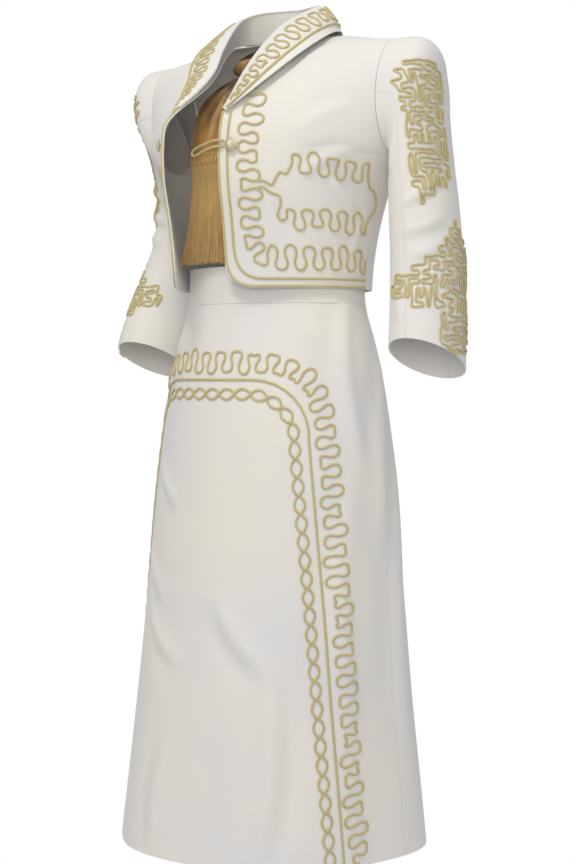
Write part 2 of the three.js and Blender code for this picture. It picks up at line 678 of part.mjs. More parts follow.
const TIE_ROWS = [
  { z: -72.6, half: 30, y: -69.5, fold: 2 },
  { z: -84, half: 46, y: -82, fold: 5 },
  { z: -100, half: 61, y: -95, fold: 5 },
  { z: -116, half: 69, y: -105, fold: 4.5 },
  { z: -138, half: 70, y: -117, fold: 3.5 },
  { z: -162, half: 68, y: -126, fold: 2.5 },
  { z: -186, half: 67, y: -130, fold: 1 },
];
const TIE_FOLDS = [
  { at: 0.14, rise: 0.8, width: 0.055 },
  { at: 0.31, rise: -0.7, width: 0.05 },
  { at: 0.47, rise: 1, width: 0.06 },
  { at: 0.63, rise: -0.9, width: 0.05 },
  { at: 0.8, rise: 0.8, width: 0.06 },
];
function tiePoint(u, v) {
  const of = (key) => alongRows(TIE_ROWS.map((r) => r[key]), v);
  const across = 2 * u - 1;
  let y = of("y") + 9 * across * across;
  for (const fold of TIE_FOLDS)
    y -= of("fold") * fold.rise * Math.exp(-(((u - fold.at) / fold.width) ** 2));
  return vec(of("half") * across, y, of("z") + 5 * across * across * (1 - v));
}
add("tie_drape", wall(tiePoint, 24, evenly(8), SATIN_WALL), BRONZE_SATIN);

const KNOT = { halfX: 29, halfY: 10, halfZ: 14, pleat: 0.09 };
const KNOT_Y = -TIE.bandRadiusY - SEAM_GAP - KNOT.halfY * (1 + KNOT.pleat);
function tieKnot() {
  const knot = new THREE.SphereGeometry(1, 20, 12);
  const place = knot.getAttribute("position");
  for (let k = 0; k < place.count; k++) {
    const p = vec(place.getX(k), place.getY(k), place.getZ(k));
    const turn = Math.atan2(p.x, p.z);
    const pleat = 1 + KNOT.pleat * Math.cos(5 * turn) * (1 - p.y * p.y);
    place.setXYZ(k, p.x * KNOT.halfX * pleat, p.z * KNOT.halfY * pleat, p.y * KNOT.halfZ);
  }
  knot.deleteAttribute("normal");
  knot.deleteAttribute("uv");
  const closed = mergeVertices(knot, 1e-4);
  const index = Array.from(closed.index.array);
  const faces = [];
  for (let k = 0; k < index.length; k += 3) {
    const [a, b, c] = index.slice(k, k + 3);
    if (a !== b && b !== c && a !== c) faces.push(a, b, c);
  }
  return facingOut(Array.from(closed.getAttribute("position").array), faces);
}
add("tie_knot", tieKnot(), BRONZE_SATIN).position.set(0, KNOT_Y, TIE.knotZ);

// ------------------------------------------------------------------ tie fringe
function solid(geometry) {
  const bare = new THREE.BufferGeometry();
  bare.setAttribute("position", geometry.getAttribute("position"));
  bare.setIndex(geometry.index);
  const merged = mergeVertices(bare, 1e-4);
  return new wasm.Manifold(
    new wasm.Mesh({
      numProp: 3,
      vertProperties: merged.getAttribute("position").array,
      triVerts: new Uint32Array(merged.index.array),
    }),
  );
}
function geometryOf(manifold) {
  const mesh = manifold.getMesh();
  const g = new THREE.BufferGeometry();
  g.setAttribute("position", new THREE.BufferAttribute(mesh.vertProperties, mesh.numProp));
  g.setIndex(new THREE.BufferAttribute(mesh.triVerts, 1));
  g.computeVertexNormals();
  return g;
}
const HEADING_TOP_Z = TIE.bodyHemZ - SEAM_GAP;
const HEADING_HEM_Z = HEADING_TOP_Z - TIE.headingHeight;
const headingY = (x) => -131 + 9 * (x / TIE.halfWidth) ** 2;
function fringe() {
  const strip = wall(
    (u, v) => {
      const x = TIE.halfWidth * (2 * u - 1);
      return vec(x, headingY(x), lerp(HEADING_TOP_Z, HEADING_HEM_Z, v));
    },
    24,
    evenly(1),
    2.4,
  );
  let whole = solid(strip);
  const sides = 3;
  for (let k = 0; k < TIE.locks; k++) {
    const share = (k + 0.5) / TIE.locks;
    const x = (TIE.halfWidth - 1.2) * (2 * share - 1);
    const across = 2 * share - 1;
    const flare = across < 0 ? -TIE.lockFlare * (-across) ** 1.2 : 2.4 * across;
    const sway = 1.5 * Math.sin(k * 2.4) + flare;
    const length = TIE.fringeLength * (1 + 0.018 * Math.sin(k * 5.1));
    const stops = [0, 0.5, 1].map((t) => ({
      x: x + sway * t * t,
      y: headingY(x) + 1.1 + lerp(0, 14, t) + 0.5 * Math.sin(k * 1.7) * t,
      z: HEADING_HEM_Z + 4 - length * t,
      r: lerp(1.05, 0.75, t),
    }));
    const points = [];
    const faces = [];
    for (const s of stops)
      for (let j = 0; j < sides; j++) {
        const turn = (2 * Math.PI * (j + 0.25)) / sides;
        points.push(s.x + s.r * Math.cos(turn), s.y + s.r * Math.sin(turn), s.z);
      }
    for (let ring = 0; ring < stops.length - 1; ring++)
      for (let j = 0; j < sides; j++) {
        const a = ring * sides + j;
        const b = ring * sides + ((j + 1) % sides);
        faces.push(a, b, b + sides, a, b + sides, a + sides);
      }
    const end = (stops.length - 1) * sides;
    faces.push(0, 2, 1, end, end + 1, end + 2);
    whole = whole.add(solid(facingOut(points, faces)));
  }
  return geometryOf(whole);
}
add("tie_fringe", fringe(), GOLD_FRINGE);

export default suit;
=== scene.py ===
"""Builds a woman's mariachi suit: a short bolero jacket with a shawl collar and gold
soutache work, a long A-line skirt with a gold border, and a satin tie with a fringe.

Patterns are worked out in millimetres and turned into metres when a mesh is made.
The suit faces -Y, the wearer's left is +X and the base of the neck is the origin.
"""

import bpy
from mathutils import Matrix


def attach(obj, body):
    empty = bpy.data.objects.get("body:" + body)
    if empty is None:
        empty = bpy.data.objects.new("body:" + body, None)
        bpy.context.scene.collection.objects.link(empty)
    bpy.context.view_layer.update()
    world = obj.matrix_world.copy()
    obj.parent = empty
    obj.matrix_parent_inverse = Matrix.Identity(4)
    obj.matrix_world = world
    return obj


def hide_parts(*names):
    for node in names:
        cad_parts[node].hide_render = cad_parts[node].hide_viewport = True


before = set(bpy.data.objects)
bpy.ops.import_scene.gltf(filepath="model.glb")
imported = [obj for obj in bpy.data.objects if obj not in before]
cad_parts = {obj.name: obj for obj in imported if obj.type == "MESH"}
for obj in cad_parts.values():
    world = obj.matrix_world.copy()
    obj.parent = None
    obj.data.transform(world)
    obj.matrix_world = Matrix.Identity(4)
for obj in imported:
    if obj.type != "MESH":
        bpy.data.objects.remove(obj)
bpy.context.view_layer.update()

import math

import bpy
import numpy as np
from bpy.props import FloatProperty, FloatVectorProperty, IntProperty, PointerProperty
from mathutils import Vector

bl_info = {
    "name": "Mariachi Suit",
    "version": (1, 0, 0),
    "blender": (4, 5, 0),
    "location": "3D View > Sidebar > Suit",
    "description": "Builds a bolero jacket, a long skirt and a fringed tie with gold soutache work",
    "category": "Add Mesh",
}

MM = 0.001
SIDES = {"left": 1, "right": -1}
SEEDS = {"front": 3, "chest": 7, "collar": 4, "border": 5, "scroll": 21, "fringe": 11}

# ------------------------------------------------------------- the garment's sizes
SEAM_GAP = 0.3
JACKET_HEM_Z = -383
FRONT_CORNER_RADIUS = 32
BREAK_Z = -133  # where the shawl collar's point meets the front edge
NECK_POINT_SHARE = 0.25
NECK_CURVE = 0.85
NAPE_LEVEL = 0.87
SHOULDER_LEVEL = 0.9993
SIDE_SEAM_Y = 12
SHOULDER = {"starts": 0.38, "full": 0.78, "turn": 12, "pull": 44, "closes": 0.84}
CIRCLE_PULL = 0.5523  # how far a curve's handles reach to make a quarter of a circle
SEAM_TRIM = 0.0012
SHARE_WIDTH = 160
OPENED_DEGREES = {"left": 1, "right": 25}
OPENED_FROM_X = 168
OPENED_DEPTH_Y = -62
OPENED_FROM_Z = -55
WAISTBAND_TOP_Z = -350
WAISTBAND_HEM_Z = -404
SKIRT_HEM_Z = -1189
EDGE_INSET = 2.5
PIPING_INSET = 17
PIPING_INSET_AT_SIDE = 13
PIPING_CORNER = 46
LOOP_SECTION = 1.8, 1.6  # half its width and half its height
SATIN_WALL = 1.2
WAISTBAND_WALL = 2.0
SEAM_DEGREES = 0.06  # half a seam's gap in a sleeve or a skirt, as an angle

# How finely surfaces are worked out.
BISECTIONS = 36
CHART_COLUMNS = 181
CHART_ROWS = 61


def rows(columns, *values):
    """A table as one list for each of its named columns."""
    names = columns.split()
    return {name: [row[k] for row in values] for k, name in enumerate(names)}


BODY_ROWS = rows(
    "front_z front_y back_z back_y side_x side_z",
    (-383, -124, -383, 116, 148, -383),
    (-340, -127, -340, 115, 153, -340),
    (-285, -134, -285, 120, 163, -290),
    (-230, -143, -230, 130, 178, -240),
    (-180, -144, -180, 138, None, None),
    (-143, -138, -135, 138, None, None),
    (-106, -124, -92, 128, None, None),
    (-70, -100, -52, 112, None, None),
    (-38, -64, -16, 92, None, None),
    (-14, -24, 6, 60, None, None),
    (-2, 12, -2, 12, None, None),
)
ARMHOLE_DEGREES = [0, 50, 92, 128, 154, 170, 180]
SEAM_ROW_COUNT = 4
UNDERARM_LEVEL = SEAM_ROW_COUNT / (len(BODY_ROWS["front_z"]) - 1)

SLEEVE_RINGS = rows(
    "inner_x inner_z outer_x outer_z mid_y half_y drop",
    (200, -194, 205, -25, 12, 58, 0),
    (204, -197, 245, -28, 12, 60, 0),
    (206, -203, 267, -46, 12, 62, 0),
    (206, -211, 273, -86, 13, 63, 0),
    (204, -221, 276, -142, 14, 63, 0),
    (201, -240, 282, -202, 16, 63, 0),
    (199, -276, 290, -264, 18, 62, 0),
    (200, -340, 298, -336, 18, 61, 6),
    (204, -410, 306, -408, 10, 61, 16),
    (209, -484, 313, -484, -2, 62, 28),
)
ELBOW_BACK = {1: 0, -1: 76}
CUFF_IN = {1: 0, -1: 14}

SKIRT_ROWS = rows(
    "z half_x half_y mid_x",
    (-350, 141, 107, 0),
    (-404, 143, 109, 0),
    (-455, 156, 120, 0),
    (-515, 170, 132, 0),
    (-588, 181, 143, 0),
    (-691, 192, 155, -1),
    (-838, 202, 171, -3),
    (-985, 212, 189, -6),
    (-1189, 231, 214, -8),
)
SKIRT_FOLDS = rows(
    "degrees depth width top_z",
    (-28, 7, 13, -760),
    (9, -5, 12, -800),
    (74, -7, 13, -620),
    (104, 8, 14, -660),
    (141, -7, 13, -700),
    (176, 8, 14, -640),
    (-142, -7, 13, -720),
    (-104, 8, 13, -680),
    (-70, -6, 13, -740),
)
BORDER = {
    "top_z": -514,
    "corner": 88,
    "leg_top_z": -600,
    "leg_top": 167,
    "leg_hem": 264,
    "shift": -30,
}
BORDER_MEANDER = {"offset": 26, "pitch": 28, "width": 35, "boldness": 1.25}
BORDER_CHAIN = {"offset": -20.5, "pitch": 26, "width": 15, "lift": 0.5}

COLLAR_STATIONS = rows(
    "panel neck stand_x stand_y stand_z share level lift",
    ("back", 0, 0, -6, 49, 0, 0.765, 4.6),
    ("back", 0.11, -3, -5, 48, 0.13, 0.785, 4.6),
    ("back", 0.2, -7, -3, 46, 0.27, 0.87, 4.6),
    ("front", 0.985, -12, -2, 42, 0.39, 0.985, 5),
    ("front", 0.87, -14, -10, 28, 0.43, 0.82, 8),
    ("front", 0.77, -11, -12, 15, 0.365, 0.71, 13),
    ("front", 0.68, -8, -8, 8, 0.25, 0.635, 14),
    ("front", 0.605, -5, -5, 4, 0.135, 0.575, 11),
    ("front", 0.54, -3, -3, 2, 0.035, 0.53, 6),
)
NECK_LIFT = 0.9
ROLL_WIDTH = 7
ROLL_ACROSS = 0.3
COLLAR_FALL = {"rise": 3, "swell": 2.5, "crown": 0.16}
# The collar's cords, as shares of the way from its neck edge to its outer edge.
COLLAR_LINE = {"across": 0.83, "reach": 0.985}
COLLAR_MEANDER = {"across": 0.58, "half_width": 0.175, "reach": 0.93, "waves": 34}

TIE = {
    "band_x": 57,
    "band_y": 56,
    "band_height": 12,
    "band_back_z": 4,
    "band_front_z": -50,
    "knot_z": -58,
    "knot_half": (29, 10, 14),
    "knot_pleat": 0.09,
    "curve": 9,
    "hem_z": -186,
    "heading": 16,
    "crossings": 17,
    "front_y": -131,
    "fringe": 146,
    "sweep_back": 14,
    "half_width": 67,
    "flare_right": 32,
    "flare_left": 2.4,
}
TIE_ROWS = rows(
    "z half y fold",
    (-72.6, 30, -69.5, 2),
    (-84, 46, -82, 5),
    (-100, 61, -95, 5),
    (-116, 69, -105, 4.5),
    (-138, 70, -117, 3.5),
    (-162, 68, -126, 2.5),
    (-186, 67, -130, 1),
)
TIE_FOLDS = rows(
    "at rise width",
    (0.14, 0.8, 0.055),
    (0.31, -0.7, 0.05),
    (0.47, 1, 0.06),
    (0.63, -0.9, 0.05),
    (0.8, 0.8, 0.06),
)
BUTTON = {"x": 24, "z": -180}
BUTTON_PROFILE = rows(
    "radius height",
    (0, 0),
    (2.6, 0),
    (2.6, 3.8),
    (7.6, 4.0),
    (9.2, 4.5),
    (9.7, 5.3),
    (9.2, 6.0),
    (8.3, 6.2),
    (7.9, 6.7),
    (7.0, 8.0),
    (5.2, 9.1),
    (2.8, 9.8),
    (1.4, 10.0),
    (0, 10.1),
)
LOOP_STOPS = rows(
    "x z lift",
    (12, -174, 1.85),
    (3, -174, 6),
    (-6, -175, 6),
    (-18, -178, 5),
    (-34, -182, 3),
    (-42, -187, 2.5),
    (-40, -192, 2.5),
    (-32, -191, 3),
    (-16, -186, 5),
    (-5, -183.5, 6),
    (3, -182.5, 6),
    (12, -182, 1.85),
)


# -------------------------------------------------------------------- number tools
def smooth(start, end, value):
    t = np.clip((np.asarray(value, float) - start) / (end - start), 0, 1)
    return t * t * (3 - 2 * t)


def lerp(a, b, t):
    return a + (b - a) * t


def along(values, t):
    """A smooth value through a column of a table, at a share t of the way down it."""
    values = np.asarray(values, float)
    last = len(values) - 1
    at = np.clip(t, 0, 1) * last
    i = np.minimum(np.floor(at).astype(int), last - 1)
    f = at - i
    ends = [2 * values[0] - values[1]], [2 * values[-1] - values[-2]]
    padded = np.concatenate([ends[0], values, ends[1]])
    before, a, b, after = (padded[i + k] for k in range(4))
    slope_a = (b - before) / 2
    slope_b = (after - a) / 2
    return (
        (2 * f**3 - 3 * f**2 + 1) * a
        + (f**3 - 2 * f**2 + f) * slope_a
        + (-2 * f**3 + 3 * f**2) * b
        + (f**3 - f**2) * slope_b
    )


def bisect(short_of, shape):
    """The share from 0 to 1 at which short_of(share) turns from true to false."""
    low = np.zeros(shape)
    high = np.ones(shape)
    for _ in range(BISECTIONS):
        mid = (low + high) / 2
        short = short_of(mid)
        low = np.where(short, mid, low)
        high = np.where(short, high, mid)
    return (low + high) / 2


def share_of(values, value):
    """The share down a rising or falling column at which it reaches a value."""
    rising = values[-1] > values[0]
    return bisect(lambda share: (along(values, share) < value) == rising, np.shape(value))


def floats(first, second):
    """Two values as number grids of one shape."""
    return np.broadcast_arrays(np.asarray(first, float), np.asarray(second, float))


def stack(x, y, z):
    return np.stack(np.broadcast_arrays(x, y, z), axis=-1).astype(float)


def steps_of(points, axis=0):
    """The distances from each point to the next along an axis of a grid."""
    return np.linalg.norm(np.diff(points, axis=axis), axis=-1)


def unit(vectors):
    lengths = np.linalg.norm(vectors, axis=-1, keepdims=True)
    return vectors / np.maximum(lengths, 1e-9)


# ------------------------------------------------------------- the jacket's surfaces
def sleeve_ring(t, degrees, side):
    """Rings down a sleeve: angle 0 is by the body, 90 the front and 180 the outside."""
    ring = {key: along(column, t) for key, column in SLEEVE_RINGS.items()}
    angle = np.radians(degrees)
    across = (1 - np.cos(angle)) / 2
    ahead = np.sin(angle)
    bend = np.sin(np.pi * np.clip(t, 0, 1) ** 1.3) ** 2 + 0.2 * smooth(0.5, 1, t)
    x = lerp(ring["inner_x"], ring["outer_x"], across) - CUFF_IN[side] * smooth(0.45, 1, t)
    y = ring["mid_y"] + ELBOW_BACK[side] * bend - ring["half_y"] * ahead
    z = lerp(ring["inner_z"], ring["outer_z"], across) + ring["drop"] * ahead
    return stack(side * x, y, z)


def side_end(half, level):
    """The end of a row of the body on the side seam, or on the armhole."""
    upper = np.clip((level - UNDERARM_LEVEL) / (1 - UNDERARM_LEVEL), 0, 1)
    arm = sleeve_ring(np.zeros_like(upper), half * along(ARMHOLE_DEGREES, upper), 1)
    arm[..., 0] -= SEAM_GAP
    lower = np.clip(level / UNDERARM_LEVEL, 0, 1)
    under = sleeve_ring(0.0, 0.0, 1)
    seam_x = BODY_ROWS["side_x"][:SEAM_ROW_COUNT] + [under[0] - SEAM_GAP]
    seam_z = BODY_ROWS["side_z"][:SEAM_ROW_COUNT] + [under[2]]
    seam = stack(along(seam_x, lower), SIDE_SEAM_Y, along(seam_z, lower))
    return np.where((level >= UNDERARM_LEVEL)[..., None], arm, seam)


def jacket_body(panel, share, level):
    """Half the closed jacket: share 0 is its centre line, level 0 its hem."""
    share, level = floats(share, level)
    y = along(BODY_ROWS[panel + "_y"], level)
    z = along(BODY_ROWS[panel + "_z"], level)
    forward = -1 if panel == "front" else 1
    side = side_end(-forward, level)
    flat = smooth(SHOULDER["starts"], SHOULDER["full"], level)
    closing = smooth(1, SHOULDER["closes"], level)
    turn = np.radians(lerp(90, SHOULDER["turn"], flat) * closing)
    pull = lerp(CIRCLE_PULL * np.abs(side[..., 1] - y), SHOULDER["pull"], flat)
    p0 = stack(0, y, z)
    p1 = stack(side[..., 0] * CIRCLE_PULL, y, lerp(z, side[..., 2], 0.1))
    p2 = stack(
        side[..., 0] - pull * np.cos(turn),
        side[..., 1] + forward * pull * np.sin(turn),
        lerp(side[..., 2], z, 0.12),
    )
    q = share[..., None]
    r = 1 - q
    return p0 * r**3 + p1 * (3 * r * r * q) + p2 * (3 * r * q * q) + side * q**3


def opened(points, side):
    """Bends one front open about an upright line near the side."""
    across = side * points[..., 0]
    bend = np.clip((OPENED_FROM_X - across) / OPENED_FROM_X, 0, 1.2)
    ahead = smooth(OPENED_DEPTH_Y / 2, OPENED_DEPTH_Y, points[..., 1])
    low = smooth(OPENED_FROM_Z, BREAK_Z - 27, points[..., 2])
    degrees = OPENED_DEGREES["left" if side > 0 else "right"]
    angle = np.radians(degrees) * bend * low * ahead
    from_x = across - OPENED_FROM_X
    from_y = points[..., 1] - OPENED_DEPTH_Y
    x = OPENED_FROM_X + from_x * np.cos(angle) - from_y * np.sin(angle)
    y = OPENED_DEPTH_Y + from_y * np.cos(angle) + from_x * np.sin(angle)
    return stack(side * x, y, points[..., 2])


def jacket_half(panel, side):
    def place(share, level):
        points = jacket_body(panel, share, np.minimum(level, 1))
        points[..., 0] *= side
        return opened(points, side)

    return place


def level_at(z):
    return share_of(BODY_ROWS["front_z"], z)


BREAK_LEVEL = float(level_at(BREAK_Z))


def front_edge(level):
    """The share at which a front ends: its rounded hem corner, its edge and its neck."""
    rise = along(BODY_ROWS["front_z"], level) - JACKET_HEM_Z
    r = FRONT_CORNER_RADIUS
    inside = np.clip(r - rise, 0, r)
    corner = np.where(rise < r, r - np.sqrt(np.maximum(r * r - inside**2, 0)), 0)
    neck = np.clip(level - BREAK_LEVEL, 0, 1) / (1 - BREAK_LEVEL)
    return corner / SHARE_WIDTH + neck**NECK_CURVE * NECK_POINT_SHARE


def neck_level(share):
    s = np.clip(np.abs(share) / NECK_POINT_SHARE, 0, 1)
    return lerp(NAPE_LEVEL, SHOULDER_LEVEL, s**2.2)


# --------------------------------------------------------- cloth, its folds and charts
def creases(*values):
    """Folds in a piece of cloth: from (x0, y0) to (x1, y1) of its chart, in millimetres."""
    return rows("x0 y0 x1 y1 depth width", *values)


FOLD = {"bow": 0.06, "trough_at": 1.6, "trough_width": 1.3, "trough_depth": 0.6}


class Cloth:
    """A surface given by place(a, b), with soft folds, and a chart that measures it.

    The chart's across is the distance on the cloth from the line a = origin, and its
    down the distance from the first row along that line, both in millimetres."""

    def __init__(self, place, a_span, b_span, origin, inside, folds=None):
        self.place = place
        self.folds = folds
        self.a_values = np.linspace(*a_span, CHART_COLUMNS)
        self.b_values = np.linspace(*b_span, CHART_ROWS)
        grid = place(self.a_values[None, :], self.b_values[:, None])
        steps = np.cumsum(steps_of(grid, 1), axis=1)
        run = np.concatenate([np.zeros((len(grid), 1)), steps], axis=1)
        zero = np.array([np.interp(origin, self.a_values, row) for row in run])
        self.run = run - zero[:, None]
        line = place(np.full_like(self.b_values, origin), self.b_values)
        self.fall = np.concatenate([[0], np.cumsum(steps_of(line))])
        middle = [np.array(np.mean(span)) for span in (a_span, b_span)]
        self.facing = 1
        normal = self.normal(*middle)
        outward = place(*middle) - np.array(inside, float)
        self.facing = 1 if float(np.dot(normal, outward)) > 0 else -1

    def normal(self, a, b):
        da = (self.a_values[-1] - self.a_values[0]) * 1e-3
        db = (self.b_values[-1] - self.b_values[0]) * 1e-3
        across = self.place(a + da, b) - self.place(a - da, b)
        down = self.place(a, b + db) - self.place(a, b - db)
        return unit(np.cross(across, down)) * self.facing * np.sign(da * db)

    def chart(self, a, b):
        """Where a place (a, b) lies on the chart."""
        a, b = floats(a, b)
        down = self._interp(b, self.b_values, self.fall)
        row = self._row(b)
        low = np.clip(np.floor(row).astype(int), 0, len(self.b_values) - 2)
        f = row - low
        column = self._interp(a, self.a_values, np.arange(len(self.a_values)))
        i = np.clip(np.floor(column).astype(int), 0, len(self.a_values) - 2)
        g = column - i
        upper = lerp(self.run[low, i], self.run[low, i + 1], g)
        lower = lerp(self.run[low + 1, i], self.run[low + 1, i + 1], g)
        return lerp(upper, lower, f), down

    @staticmethod
    def _interp(x, xs, ys):
        if xs[0] > xs[-1]:
            return np.interp(-x, -xs, ys)
        return np.interp(x, xs, ys)

    def _row(self, b):
        return self._interp(b, self.b_values, np.arange(len(self.b_values)))

    def a_at(self, across, b):
        """The a at a distance across the cloth, on the row b."""
        across, b = floats(across, b)
        row = self._row(b).ravel()
        found = np.empty(row.shape)
        for k, (r, w) in enumerate(zip(row, across.ravel())):
            i = min(int(r), len(self.b_values) - 2)
            line = lerp(self.run[i], self.run[i + 1], r - i)
            found[k] = np.interp(w, line, self.a_values)
        return found.reshape(across.shape)

    def relief(self, a, b):
        if not self.folds:
            return np.zeros(np.broadcast(a, b).shape)
        across, down = self.chart(a, b)
        raised = np.zeros(across.shape)
        for x0, y0, x1, y1, depth, width in zip(*self.folds.values()):
            run = np.array([x1 - x0, y1 - y0], float)
            length = float(np.hypot(*run))
            run /= length
            s = (across - x0) * run[0] + (down - y0) * run[1]
            off = -(across - x0) * run[1] + (down - y0) * run[0]
            bow = off - FOLD["bow"] * length * np.sin(np.pi * np.clip(s / length, 0, 1))
            rise = smooth(-0.1 * length, 0.35 * length, s)
            ends = rise * smooth(1.1 * length, 0.6 * length, s)
            ridge = np.exp(-((bow / width) ** 2))
            beside = (bow / width - FOLD["trough_at"]) / FOLD["trough_width"]
            raised += depth * ends * (ridge - FOLD["trough_depth"] * np.exp(-(beside**2)))
        return raised

    def at(self, a, b, lift=0.0):
        """Points on the cloth with its folds, raised by lift."""
        a, b = floats(a, b)
        height = self.relief(a, b) + lift
        return self.place(a, b) + self.normal(a, b) * np.asarray(height)[..., None]

    def on(self, across, b, lift=0.0):
        """Points at a distance across the cloth on its rows b, and their normals."""
        a = self.a_at(across, b)
        b = np.broadcast_to(b, a.shape)
        return self.at(a, b, lift), self.normal(a, b)


# ---------------------------------------------------------------------- mesh builders
def new_piece(name, points, faces, slot, sharp=50):
    """A mesh object from points in millimetres that rides on the suit."""
    mesh = bpy.data.meshes.new(name)
    mesh.from_pydata([tuple(p) for p in np.asarray(points) * MM], [], faces)
    mesh.polygons.foreach_set("use_smooth", [True] * len(mesh.polygons))
    mesh.set_sharp_from_angle(angle=math.radians(sharp))
    mesh.materials.append(finish_for(slot))
    mesh.update()
    piece = bpy.data.objects.new(name, mesh)
    bpy.context.scene.collection.objects.link(piece)
    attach(piece, "root")
    return piece


def band_faces(first, second, turned=False):
    """Faces between two lines of points, given by their numbers."""
    corners = [first[:-1], first[1:], second[1:], second[:-1]]
    if turned:
        corners = [first[:-1], second[:-1], second[1:], first[1:]]
    return np.stack(corners, axis=1).tolist()


def ring_faces(grid, turned=True):
    """Faces between rings of points, given by a grid of their numbers."""
    grid = np.concatenate([grid, grid[:, :1]], axis=1)
    return [face for here, there in zip(grid, grid[1:]) for face in band_faces(here, there, turned)]


def end_faces(grid):
    """The two faces that close a tube of rings."""
    return [grid[0].tolist(), grid[-1][::-1].tolist()]


def shell_faces(row_count, column_count, ring):
    """Faces of a closed wall whose outer grid comes first and inner grid second."""
    grids = np.arange(2 * row_count * column_count).reshape(2, row_count, column_count)
    if ring:
        grids = np.concatenate([grids, grids[:, :, :1]], axis=2)
    outer, inner = grids
    faces = band_faces(outer[0], inner[0], True) + band_faces(outer[-1], inner[-1])
    for j in range(row_count - 1):
        faces += band_faces(outer[j], outer[j + 1]) + band_faces(inner[j], inner[j + 1], True)
    if not ring:
        faces += band_faces(outer[:, 0], inner[:, 0]) + band_faces(outer[:, -1], inner[:, -1], True)
    return faces


def signed_volume(points, faces):
    a, b, c, d = (points[corner] for corner in np.array(faces).T)
    return float(np.sum(a * (np.cross(b, c) + np.cross(c, d))))


def cloth_piece(name, outer, inner, slot, ring=False):
    """A thin closed shell of cloth between two grids of points."""
    row_count, column_count = outer.shape[:2]
    points = np.concatenate([outer.reshape(-1, 3), inner.reshape(-1, 3)])
    faces = shell_faces(row_count, column_count, ring)
    if signed_volume(points, faces) < 0:
        faces = [face[::-1] for face in faces]
    return new_piece(name, points, faces, slot)


def flat_area(outer):
    """The area of a grid of points, in square metres."""
    a = outer[1:, :-1] - outer[:-1, :-1]
    b = outer[:-1, 1:] - outer[:-1, :-1]
    return float(np.linalg.norm(np.cross(a, b), axis=-1).sum()) * MM * MM


class Strands:
    """Gathers cords as tubes of a flattened round section into one mesh."""

    def __init__(self, sides=6):
        self.sides = sides
        self.points = []
        self.faces = []
        self.count = 0

    def add(self, path, normals, half_width, half_height=None, closed=False):
        path = np.asarray(path, float)
        half_height = half_width if half_height is None else half_height
        if closed:
            ahead = np.roll(path, -1, axis=0) - np.roll(path, 1, axis=0)
        else:
            ahead = np.gradient(path, axis=0)
        tangent = unit(ahead)
        up = unit(normals - tangent * np.sum(normals * tangent, axis=-1, keepdims=True))
        aside = np.cross(tangent, up)
        n = self.sides
        turn = 2 * np.pi * (np.arange(n) + 0.5) / n
        half_width = np.broadcast_to(half_width, len(path))[:, None, None]
        half_height = np.broadcast_to(half_height, len(path))[:, None, None]
        ring = (
            path[:, None, :]
            + aside[:, None, :] * np.cos(turn)[None, :, None] * half_width
            + up[:, None, :] * np.sin(turn)[None, :, None] * half_height
        )
        grid = self.count + np.arange(len(path) * n).reshape(-1, n)
        self.points.append(ring.reshape(-1, 3))
        self.count += len(path) * n
        self.faces += ring_faces(np.concatenate([grid, grid[:1]]) if closed else grid)
        if not closed:
            self.faces += end_faces(grid)

    def lay(self, cloth, across, rows_down, cord, lift=0.0):
        """Sews a cord on cloth, at distances across its rows."""
        path, normals = cloth.on(across, rows_down, cord.lift + lift)
        self.add(path, normals, cord.half_width, cord.half_height)

    def piece(self, name, slot="gold_cord"):
        return new_piece(name, np.concatenate(self.points), self.faces, slot, 80)


def read_off(at, run, line):
    """The places of a flat line at distances along it."""
    return np.stack([np.interp(at, run, line[:, k]) for k in range(2)], axis=1)


def resample(points, step):
    """A flat line through points as evenly spaced places, after their distances along."""
    points = np.asarray(points, float)
    run = np.concatenate([[0], np.cumsum(steps_of(points))])
    s = np.linspace(0, run[-1], max(int(run[-1] / step), 8))
    return s, read_off(s, run, points)


def sideways(line):
    """The normals of a flat line, on its left."""
    ahead = unit(np.gradient(line, axis=0))
    return np.stack([-ahead[:, 1], ahead[:, 0]], axis=1)


def rounded(corners, radius, steps=7):
    """A flat line through corners, each turned with a radius."""
    corners = [np.array(c, float) for c in corners]
    line = [corners[0]]
    for before, here, after in zip(corners, corners[1:], corners[2:]):
        back = unit(before - here)
        ahead = unit(after - here)
        shorter = min(np.linalg.norm(before - here), np.linalg.norm(after - here))
        reach = min(radius, 0.49 * shorter)
        start = here + back * reach
        end = here + ahead * reach
        for t in np.linspace(0, 1, steps + 1):
            line.append(start * (1 - t) ** 2 + here * 2 * t * (1 - t) + end * t * t)
    line.append(corners[-1])
    return np.array(line)


# How a meander's direction swings, in degrees: it turns back on itself past 90.
LOBE = {"swing": 117, "flatter": 28, "dent": 38, "slant": 26}


